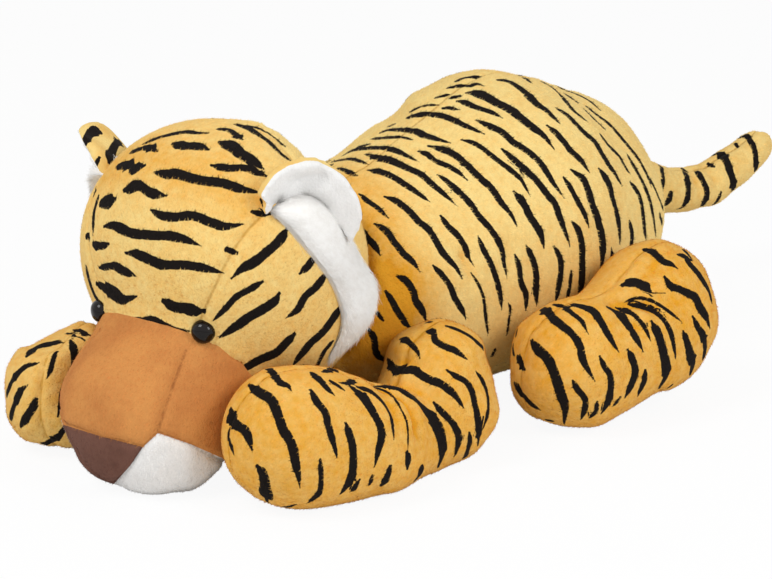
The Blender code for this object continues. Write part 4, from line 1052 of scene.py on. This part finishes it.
class Shader:
    """A material whose nodes are added one call at a time."""

    def __init__(self, name):
        self.material = bpy.data.materials.new(name)
        self.material.use_nodes = True
        self.tree = self.material.node_tree
        self.tree.nodes.clear()
        self.output = self.tree.nodes.new("ShaderNodeOutputMaterial")
        self.place = self.tree.nodes.new("ShaderNodeTexCoord").outputs["Object"]

    def feed(self, socket, value):
        """Link a value into a socket, or set it."""
        if isinstance(value, bpy.types.NodeSocket):
            self.tree.links.new(value, socket)
        else:
            socket.default_value = value

    def node(self, kind, sockets, **settings):
        """Add a node with these settings and inputs."""
        made = self.tree.nodes.new(kind)
        for name, value in settings.items():
            setattr(made, name, value)
        for name, value in sockets.items():
            self.feed(made.inputs[name], value)
        return made

    def math(self, operation, *values):
        """Work out a number."""
        return self.node("ShaderNodeMath", dict(enumerate(values)), operation=operation).outputs[0]

    def noise(self, length, detail=2.0, place=None):
        """Give noise from 0 to 1 with bumps of about this length."""
        sockets = {"Vector": place or self.place, "Scale": 1 / length, "Detail": detail}
        return self.node("ShaderNodeTexNoise", sockets).outputs[0]

    def stretched(self, ways):
        """Give the place scaled by a share on each axis."""
        sockets = {"Vector": self.place, "Scale": ways}
        return self.node("ShaderNodeMapping", sockets).outputs[0]

    def value(self, name):
        """Read a number kept on the vertices."""
        return self.node("ShaderNodeAttribute", {}, attribute_name=name).outputs["Fac"]

    def band(self, value, low, high):
        """Rise smoothly from 0 at low to 1 at high."""
        sockets = {"Value": value, "From Min": low, "From Max": high}
        return self.node("ShaderNodeMapRange", sockets, interpolation_type="SMOOTHSTEP").outputs[0]

    def mix(self, share, first, second):
        """Mix two colours."""
        return self.node("ShaderNodeMix", {0: share, 6: first, 7: second}, data_type="RGBA").outputs[2]

    def scaled(self, tone, factor):
        """Multiply a colour by a number."""
        sockets = {0: 1.0, 6: tone, 7: factor}
        return self.node("ShaderNodeMix", sockets, data_type="RGBA", blend_type="MULTIPLY").outputs[2]

    def stripe_edge(self):
        """Give how far each place lies outside its nearest stripe."""
        half = self.value("stripe_half")
        edge = self.math("SUBTRACT", self.math("ABSOLUTE", self.value("stripe_across")), half)
        beyond = self.math("SUBTRACT", self.value("stripe_distance"), half)
        return self.math("MAXIMUM", edge, self.math("SUBTRACT", beyond, STRIPE_MARGIN))

    def striped(self, tone, edge):
        """Lay black stripes over a colour."""
        black = self.band(edge, STRIPE_SOFTNESS, -STRIPE_SOFTNESS)
        wide = self.math("GREATER_THAN", self.value("stripe_half"), STRIPE_SOFTNESS)
        return self.mix(self.math("MULTIPLY", black, wide), tone, STRIPE_BLACK)

    def jitter(self, length, reach):
        """Give noise about 0 with bumps of this length."""
        return self.math("MULTIPLY", self.math("SUBTRACT", self.noise(length), HALF), reach)

    def levels(self, value, dark, bright):
        """Turn a pile's height into a shade between dark and bright."""
        sockets = {"Value": value, "From Min": 0.3, "From Max": 0.7, "To Min": dark, "To Max": bright}
        return self.node("ShaderNodeMapRange", sockets).outputs[0]

    def finish(self, tone, height, depth, roughness, sheen):
        """End with a soft plush surface."""
        bump = self.node("ShaderNodeBump", {"Height": height, "Strength": 1.0, "Distance": depth})
        sockets = {"Base Color": tone, "Roughness": roughness, "Normal": bump.outputs[0]}
        surface = self.node("ShaderNodeBsdfPrincipled", sockets)
        surface.inputs["Sheen Weight"].default_value = sheen
        surface.inputs["Sheen Roughness"].default_value = 0.45
        surface.inputs["Specular IOR Level"].default_value = 0.03
        self.tree.links.new(surface.outputs[0], self.output.inputs["Surface"])
        return self.material


def pile(shader, length):
    """Give the height of a short pile: fine tufts that lie in streaks."""
    fine = shader.noise(length, 3.0)
    streaks = shader.noise(length * 1.6, 2.0, shader.stretched((1.0, 1.0, 0.35)))
    return shader.math("ADD", shader.math("MULTIPLY", fine, 0.6), shader.math("MULTIPLY", streaks, 0.4))


def plush(name, light, deep, warmth, pile_length=0.0011, pile_depth=0.0006, mottle=MOTTLE, striped=False):
    """Make a velvety plush with painted shade in its seams and folds, with black stripes if it has them."""
    shader = Shader(name)
    tufts = pile(shader, pile_length)
    patches = shader.band(shader.noise(PATCH_LENGTH, 3.0), 0.35, 0.68)
    blotches = shader.math("SUBTRACT", shader.noise(MOTTLE_LENGTH, 3.0), HALF)
    # Painted shade: the plush turns darker and deeper in colour along its seams
    seam_shade_share = shader.band(shader.value("seam"), *SEAM_SHADE_BAND)
    seam_shade_factor = shader.math("SUBTRACT", 1.0, shader.math("MULTIPLY", seam_shade_share, SEAM_PAINTED_SHADE))
    seam_shade_share = shader.math("MULTIPLY", seam_shade_share, 0.3)
    # Painted shade: the plush turns deeper in colour in its folds
    fold = shader.band(shader.value("fold"), *FOLD_SHADE_BAND)
    share = shader.math("ADD", shader.value("warmth"), shader.math("MULTIPLY", patches, warmth))
    share = shader.math("ADD", share, shader.math("MULTIPLY", blotches, mottle))
    share = shader.math("ADD", share, shader.math("ADD", seam_shade_share, shader.math("MULTIPLY", fold, 0.5)))
    share = shader.node("ShaderNodeClamp", {"Value": share}).outputs[0]
    tone = shader.mix(share, light, deep)
    if striped:
        wobble = shader.jitter(WOBBLE_LENGTH, WOBBLE_REACH)
        fray = shader.jitter(FRAY_LENGTH, FRAY_REACH)
        tone = shader.striped(tone, shader.math("ADD", shader.stripe_edge(), shader.math("ADD", wobble, fray)))
        white = shader.band(shader.math("ADD", shader.value("white"), fray), *WHITE_BAND)
        tone = shader.mix(white, tone, WHITE)
    shade = shader.math("ADD", shader.levels(tufts, 0.92, 1.05), shader.value("fibre"))
    tone = shader.scaled(tone, shader.math("MULTIPLY", shade, seam_shade_factor))
    return shader.finish(tone, tufts, pile_depth, 0.95, 0.03)


def ear_plush():
    """Make the ear's plush: striped on the back, white in the cup."""
    shader = Shader("ear_plush")
    tufts = pile(shader, 0.0011)
    patches = shader.band(shader.noise(0.02, 3.0), 0.35, 0.7)
    back = shader.mix(shader.math("MULTIPLY", patches, 0.5), PALE_YELLOW, DEEP_YELLOW)
    back = shader.striped(back, shader.stripe_edge())
    fray = shader.jitter(EAR_FRAY_LENGTH, FRAY_REACH)
    lining = shader.band(shader.math("ADD", shader.value("zone"), fray), *LINING_BAND)
    tone = shader.mix(lining, back, WHITE)
    shade = shader.levels(tufts, 0.95, 1.03)
    return shader.finish(shader.scaled(tone, shade), tufts, EAR_PILE_DEPTH, 0.95, 0.05)


def white_fur():
    """Make the long white fur, with painted shade between its tufts."""
    shader = Shader("white_fur")
    clumps = shader.noise(0.004, 3.0)
    fine = shader.noise(0.0012, 2.0)
    height = shader.math("ADD", shader.math("MULTIPLY", clumps, 0.6), shader.math("MULTIPLY", fine, 0.4))
    tone = shader.mix(shader.band(height, 0.35, 0.6), SHADOW_WHITE, WHITE)
    return shader.finish(tone, height, 0.0008, 0.95, 0.1)


def eye_gloss():
    """Make glossy black plastic with the faintest moulding waves."""
    shader = Shader("eye_gloss")
    waves = shader.noise(0.006, 1.0)
    tone = shader.mix(waves, EYE_BLACK, colour(22, 16, 13))
    bump = shader.node("ShaderNodeBump", {"Height": waves, "Strength": 0.15, "Distance": 0.0003})
    sockets = {"Base Color": tone, "Normal": bump.outputs[0], "Roughness": 0.06}
    surface = shader.node("ShaderNodeBsdfPrincipled", sockets)
    surface.inputs["Specular IOR Level"].default_value = 0.25
    shader.tree.links.new(surface.outputs[0], shader.output.inputs["Surface"])
    return shader.material


def cut_zone(made, attribute, name):
    """Cut a skin exactly where a vertex value is 0 and move what lies above it to an object of its own."""
    shape = bmesh.new()
    shape.from_mesh(made.data)
    layer = shape.verts.layers.float[attribute]
    cuts = []
    for edge in list(shape.edges):
        start, end = edge.verts
        if start[layer] * end[layer] < 0:
            share = start[layer] / (start[layer] - end[layer])
            vertex = bmesh.utils.edge_split(edge, start, share)[1]
            vertex[layer] = 0
            cuts.append(vertex)
    bmesh.ops.connect_verts(shape, verts=cuts)
    part = shape.copy()
    part_layer = part.verts.layers.float[attribute]
    others = [face for face in part.faces if sum(vertex[part_layer] for vertex in face.verts) <= 0]
    bmesh.ops.delete(part, geom=others, context="FACES")
    mesh = bpy.data.meshes.new(name)
    part.to_mesh(mesh)
    part.free()
    taken = [face for face in shape.faces if sum(vertex[layer] for vertex in face.verts) > 0]
    bmesh.ops.delete(shape, geom=taken, context="FACES")
    shape.to_mesh(made.data)
    shape.free()
    made = add_object(name, mesh)
    made.data.shade_smooth()
    return made


def make_eye(side):
    """Turn a smooth glossy cap where the photograph shows the eye, on the head's skin."""
    spot, outward = tree_of(skins["head"]).ray_cast(EYE_POINT, photo_ray(EYE_PIXELS[side]))[:2]
    places, normals = read_skin(skins["head"])
    near = np.exp(-(np.linalg.norm(places - np.array(spot), axis=1) / EYE_RADIUS) ** 2)
    axis = unit((normals * near[:, None]).sum(axis=0)[None, :])[0]
    middle = np.array(spot)
    radius, base, height = EYE_RADIUS, -EYE_SINK, EYE_SINK + EYE_RISE
    out = Vector(axis)
    turn = out.to_track_quat("Z", "Y").to_matrix()
    shape = bmesh.new()
    rows = []
    for row in range(EYE_ROWS):
        angle = math.pi / 2 * row / EYE_ROWS
        ring_radius = radius * math.cos(angle) ** (2 / EYE_FULLNESS)
        rise = base + height * math.sin(angle) ** (2 / EYE_FULLNESS)
        ring = []
        for index in range(EYE_SEGMENTS):
            around = 2 * math.pi * index / EYE_SEGMENTS
            spot = Vector((ring_radius * math.cos(around), ring_radius * math.sin(around), rise))
            ring.append(shape.verts.new(Vector(middle) + turn @ spot))
        rows.append(ring)
    for lower, upper in zip(rows, rows[1:]):
        for index in range(EYE_SEGMENTS):
            after = (index + 1) % EYE_SEGMENTS
            shape.faces.new((lower[index], lower[after], upper[after], upper[index]))
    tip = shape.verts.new(Vector(middle) + turn @ Vector((0, 0, base + height)))
    foot = shape.verts.new(Vector(middle) + turn @ Vector((0, 0, base)))
    for index in range(EYE_SEGMENTS):
        after = (index + 1) % EYE_SEGMENTS
        shape.faces.new((rows[-1][index], rows[-1][after], tip))
        shape.faces.new((rows[0][after], rows[0][index], foot))
    mesh = bpy.data.meshes.new("eye_cap_" + side)
    shape.to_mesh(mesh)
    shape.free()
    mesh.shade_smooth()
    return add_object("eye_cap_" + side, mesh)


def grow_fur(name, skin, wanted, count, length, lean):
    """Grow tapering strands from the wanted faces of a skin, leaning along a direction."""
    mesh = skin.data
    faces = [face for face in mesh.polygons if wanted(face)]
    areas = np.array([face.area for face in faces])
    chosen = generator.choice(len(faces), count, p=areas / areas.sum())
    places = []
    bodies = []
    for index in chosen:
        face = faces[index]
        corners = [mesh.vertices[corner].co for corner in face.vertices]
        weights = generator.dirichlet(np.ones(len(corners)))
        root = sum((corner * weight for corner, weight in zip(corners, weights)), Vector())
        stray = Vector(generator.normal(0, STRAND_STRAY, 3))
        combed = lean(root)
        combed = (combed - face.normal * combed.dot(face.normal)).normalized()
        heading = (face.normal * STRAND_LIFT + combed + stray).normalized()
        aside = heading.cross(face.normal).normalized() * STRAND_WIDTH / 2
        reach = length * generator.uniform(*STRAND_LENGTH_SHARES)
        droop = (combed - face.normal) * STRAND_DROOP * reach
        start = len(places)
        for level in range(STRAND_LEVELS):
            share = level / (STRAND_LEVELS - 1)
            spot = root + heading * reach * share + droop * share ** 2
            half = aside * (1 - STRAND_TAPER * share)
            places += [spot - half, spot + half]
        for level in range(STRAND_LEVELS - 1):
            corner = start + 2 * level
            bodies.append((corner, corner + 1, corner + 3, corner + 2))
    mesh = bpy.data.meshes.new(name)
    mesh.from_pydata([tuple(place) for place in places], [], bodies)
    mesh.update()
    made = add_object(name, mesh)
    made.visible_shadow = False
    return made


def grow_pile(part, skin, direction):
    """Grow a short pile of flat fibres over a skin; each keeps its root's values, so stripes run on."""
    places, normals = read_skin(skin)
    skin.data.calc_loop_triangles()
    corners = np.empty(len(skin.data.loop_triangles) * 3, np.int32)
    skin.data.loop_triangles.foreach_get("vertices", corners)
    corners = corners.reshape(-1, 3)
    sides = places[corners[:, 1:]] - places[corners[:, :1]]
    areas = np.linalg.norm(np.cross(sides[:, 0], sides[:, 1]), axis=1) / 2
    count = round(areas.sum() * PILE_DENSITY)
    chosen = corners[generator.choice(len(corners), count, p=areas / areas.sum())]
    weights = generator.dirichlet(np.ones(3), count)[:, :, None]
    roots = (places[chosen] * weights).sum(axis=1)
    outward = unit((normals[chosen] * weights).sum(axis=1))
    combed = np.tile(np.array(direction), (count, 1)) + generator.normal(0, PILE_STRAY, (count, 3))
    combed = unit(combed - outward * np.einsum("ij,ij->i", combed, outward)[:, None])
    heading = unit(combed + outward * generator.uniform(*PILE_LIFTS, (count, 1)))
    aside = unit(np.cross(heading, outward)) * PILE_WIDTH / 2
    tips = roots + heading * PILE_LENGTH * generator.uniform(*PILE_LENGTH_SHARES, (count, 1))
    spots = np.stack((roots - aside, roots + aside, tips), axis=1).reshape(-1, 3)
    spots[:, 2] = np.maximum(spots[:, 2], 0)
    mesh = bpy.data.meshes.new(part + "_pile")
    mesh.from_pydata([], [], [])
    mesh.vertices.add(len(spots))
    mesh.vertices.foreach_set("co", spots.ravel())
    mesh.loops.add(len(spots))
    mesh.loops.foreach_set("vertex_index", np.arange(len(spots)))
    mesh.polygons.add(count)
    mesh.polygons.foreach_set("loop_start", np.arange(0, len(spots), 3))
    mesh.update()
    made = add_object(part + "_pile", mesh)
    for name in PILE_VALUES:
        if name in skin.data.attributes:
            values = (read_values(skin, name)[chosen] * weights[:, :, 0]).sum(axis=1)
            write_values(made, name, np.repeat(values, 3))
    write_values(made, "fibre", np.repeat(generator.uniform(*FIBRE_SHADES, count), 3))
    made.visible_shadow = False
    made.data.materials.append(skin.data.materials[0])
    return made


def light(name, direction, power, size):
    """Hang a soft square lamp in this direction from the tiger."""
    data = bpy.data.lights.new(name, "AREA")
    data.energy = power
    data.size = size
    lamp = bpy.data.objects.new(name, data)
    bpy.context.scene.collection.objects.link(lamp)
    lamp.location = AIM + direction.normalized() * LIGHT_DISTANCE
    lamp.rotation_euler = direction.to_track_quat("Z", "Y").to_euler()


# Warmth: how far each part's yellow leans to the deep one, with painted shade on the chest near the head and
# ruffs
WARMTH = {"torso": 0.02, "head": 0.16, "tail": 0.15, "front_leg_left": 0.66, "front_leg_right": 0.4,
          "hind_leg_left": 0.7, "hind_leg_right": 0.7, "ear_left": 0.2, "ear_right": 0.2}
CHEST_PAINTED_SHADE = 0.75
CHEST_SHADE_REACH = 0.035
BACK_PALENESS = 0.3
for part, warmth in WARMTH.items():
    places, normals = read_skin(skins[part])
    values = np.full(len(places), warmth)
    if part == "torso":
        # Painted shade: the chest turns deeper in colour near the head and ruffs, where their shade falls
        finder = tree_of(skins["head"], skins["ruff_left"], skins["ruff_right"])
        near = np.array([finder.find_nearest(place)[3] for place in places.tolist()])
        values += CHEST_PAINTED_SHADE * np.exp(-(near / CHEST_SHADE_REACH) ** 2)
    if part == "head":
        own = panel_distances["head"][FACE_PANELS.index("head_back_panel")]
        others = np.delete(panel_distances["head"], FACE_PANELS.index("head_back_panel"), axis=0).min(axis=0)
        values -= BACK_PALENESS * np.clip(0.5 + (others - own) / 0.004, 0, 1)
    spots = pixels_of(near_side(places) if part == "head" else places)
    # Warmer spots: blotches on the head, painted shade on the chest
    for x, y, radius, amount in WARM_BLOTCHES_AND_SHADE.get(part, ()):
        values += amount * np.exp(-(np.linalg.norm(spots - (x, y), axis=1) / radius) ** 2)
    write_values(skins[part], "warmth", values)

# Head: its face, muzzle, nose and chin become pieces of their own
ZONES = {"nose_skin": NOSE_OUTLINE, "chin_skin": CHIN_OUTLINE, "muzzle_skin": None}
groups = head_groups(panel_distances["head"])
on_muzzle = groups[:3].min(axis=0) - groups[3]
places, normals = read_skin(skins["head"])
shown = near_side(places)
facing = np.einsum("ij,ij->i", normals, unit(np.array(EYE_POINT) - places)) * NOSE_WRAP
for zone, outline in ZONES.items():
    depth = inside_outline(shown, outline) if outline else on_muzzle
    if zone == "nose_skin":
        depth = np.maximum(depth, np.minimum(inside_outline(places, outline), facing))
    if zone == "chin_skin":
        depth = np.minimum(depth, np.maximum(inside_outline(places, outline), -facing))
    write_values(skins["head"], zone, np.minimum(depth, on_muzzle))
head_pieces = {zone: cut_zone(skins["head"], zone, zone) for zone in ZONES}

striped = plush("striped_plush", PALE_YELLOW, DEEP_YELLOW, 0.14, striped=True)
brown = plush("brown_plush", BROWN, DEEP_BROWN, 0.4, pile_length=0.0009, pile_depth=0.0004, mottle=0.35)
nose = plush("nose_plush", NOSE_BROWN, colour(96, 66, 56), 0.5, pile_length=0.0009, pile_depth=0.0004,
             mottle=0.35)
white = plush("white_plush", WHITE, SHADOW_WHITE, 0.5, pile_length=0.001)
fur = white_fur()
for part in ("torso", "head", "tail", *LEGS):
    skins[part].data.materials.append(striped)
for part in ("ear_left", "ear_right"):
    skins[part].data.materials.append(ear_plush())
for part in ("ruff_left", "ruff_right"):
    skins[part].data.materials.append(fur)
for zone, finish in (("nose_skin", nose), ("chin_skin", white), ("muzzle_skin", brown)):
    head_pieces[zone].data.materials.append(finish)

# Eyes
gloss = eye_gloss()
for side in ("left", "right"):
    eye = make_eye(side)
    eye.data.materials.append(gloss)
    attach(eye, "head")
    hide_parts("eye_" + side, "eye_washer_" + side)

# Fur on the ruffs, combed down along them and a little outward
for side in ("left", "right"):
    middle = ruff_middles[side]
    runs = np.gradient(middle, axis=0)
    outward = np.array(RIGHT) * RUFF_FLARE
    toward = np.array(BACKWARD)
    if side == "right":
        outward, toward = (way - 2 * (way @ HEAD_ASIDE) * HEAD_ASIDE for way in (outward, toward))
    combing = unit(runs) + outward
    strands = grow_fur("ruff_fur_" + side, skins["ruff_" + side],
                       lambda face: face.normal @ Vector(toward) > 0, RUFF_STRANDS, RUFF_STRAND_LENGTH,
                       lambda root: Vector(combing[np.linalg.norm(middle - np.array(root), axis=1).argmin()]))
    strands.data.materials.append(fur)
    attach(strands, "head")

# Short pile over the plush
for part, direction in PILE_DIRECTIONS.items():
    made = grow_pile(part, head_pieces.get(part) or skins[part], direction)
    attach(made, SKINS[part][0] if part in SKINS else "head")

# Riding and replacing
REPLACED = {"nose_skin": ["nose_panel"], "chin_skin": ["chin_panel"],
            "muzzle_skin": ["muzzle_top_panel", "muzzle_side_left", "muzzle_side_right", "muzzle_stuffing"]}
for part, (body, panels, fillings) in SKINS.items():
    skin = skins[part]
    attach(skin, body)
    nodes = panels + fillings
    if part == "head":
        nodes = FACE_PANELS + ["head_stuffing"]
    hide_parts(*nodes)
for zone, piece in head_pieces.items():
    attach(piece, "head")
    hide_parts(*REPLACED[zone])

# Floor: white to the camera, with the tiger's shadow
floor_shader = Shader("floor_paper")
grain = floor_shader.noise(0.004, 3.0)
diffuse = floor_shader.node("ShaderNodeBsdfDiffuse", {
    "Color": floor_shader.mix(grain, FLOOR_WHITE, colour(246, 246, 246))})
glow = floor_shader.node("ShaderNodeEmission", {"Color": (1, 1, 1, 1), "Strength": 1.0})
rays = floor_shader.node("ShaderNodeLightPath", {})
share = floor_shader.math("MULTIPLY", rays.outputs["Is Camera Ray"], FLOOR_GLOW_SHARE)
blend = floor_shader.node("ShaderNodeMixShader", {0: share, 1: diffuse.outputs[0], 2: glow.outputs[0]})
floor_shader.tree.links.new(blend.outputs[0], floor_shader.output.inputs["Surface"])
floor_mesh = bpy.data.meshes.new("floor")
half = FLOOR_SIZE / 2
floor_mesh.from_pydata([(-half, -half, 0), (half, -half, 0), (half, half, 0), (-half, half, 0)], [],
                       [(0, 1, 2, 3)])
floor = add_object("floor", floor_mesh)
floor.data.materials.append(floor_shader.material)

world = bpy.data.worlds.new("studio")
bpy.context.scene.world = world
world.use_nodes = True
nodes = world.node_tree.nodes
links = world.node_tree.links
background = nodes["Background"]
background.inputs["Color"].default_value = (1, 1, 1, 1)
path = nodes.new("ShaderNodeLightPath")
shown = nodes.new("ShaderNodeMath")
shown.operation = "MAXIMUM"
mirrored_or_seen = nodes.new("ShaderNodeMath")
mirrored_or_seen.operation = "MAXIMUM"
links.new(path.outputs["Is Camera Ray"], mirrored_or_seen.inputs[0])
links.new(path.outputs["Is Glossy Ray"], mirrored_or_seen.inputs[1])
links.new(mirrored_or_seen.outputs[0], shown.inputs[0])
links.new(path.outputs["Is Transmission Ray"], shown.inputs[1])
strength = nodes.new("ShaderNodeMapRange")
strength.inputs["To Min"].default_value = WORLD_STRENGTH
strength.inputs["To Max"].default_value = 1.0
links.new(shown.outputs[0], strength.inputs["Value"])
links.new(strength.outputs[0], background.inputs["Strength"])

light("key", BACKWARD - RIGHT * 0.6 + UPWARD * 0.75, KEY_POWER, KEY_SIZE)
light("fill", BACKWARD + RIGHT * 0.75 + UPWARD * 0.4, FILL_POWER, FILL_SIZE)

# Camera
camera_data = bpy.data.cameras.new("camera")
camera_data.sensor_width = SENSOR_WIDTH
camera_data.lens = FOCAL_PIXELS / PHOTO_WIDTH * SENSOR_WIDTH
camera = bpy.data.objects.new("camera", camera_data)
bpy.context.scene.collection.objects.link(camera)
camera.matrix_world = Matrix((RIGHT, UPWARD, BACKWARD)).transposed().to_4x4()
camera.location = EYE_POINT
bpy.context.scene.camera = camera
bpy.context.scene.view_settings.view_transform = "Standard"
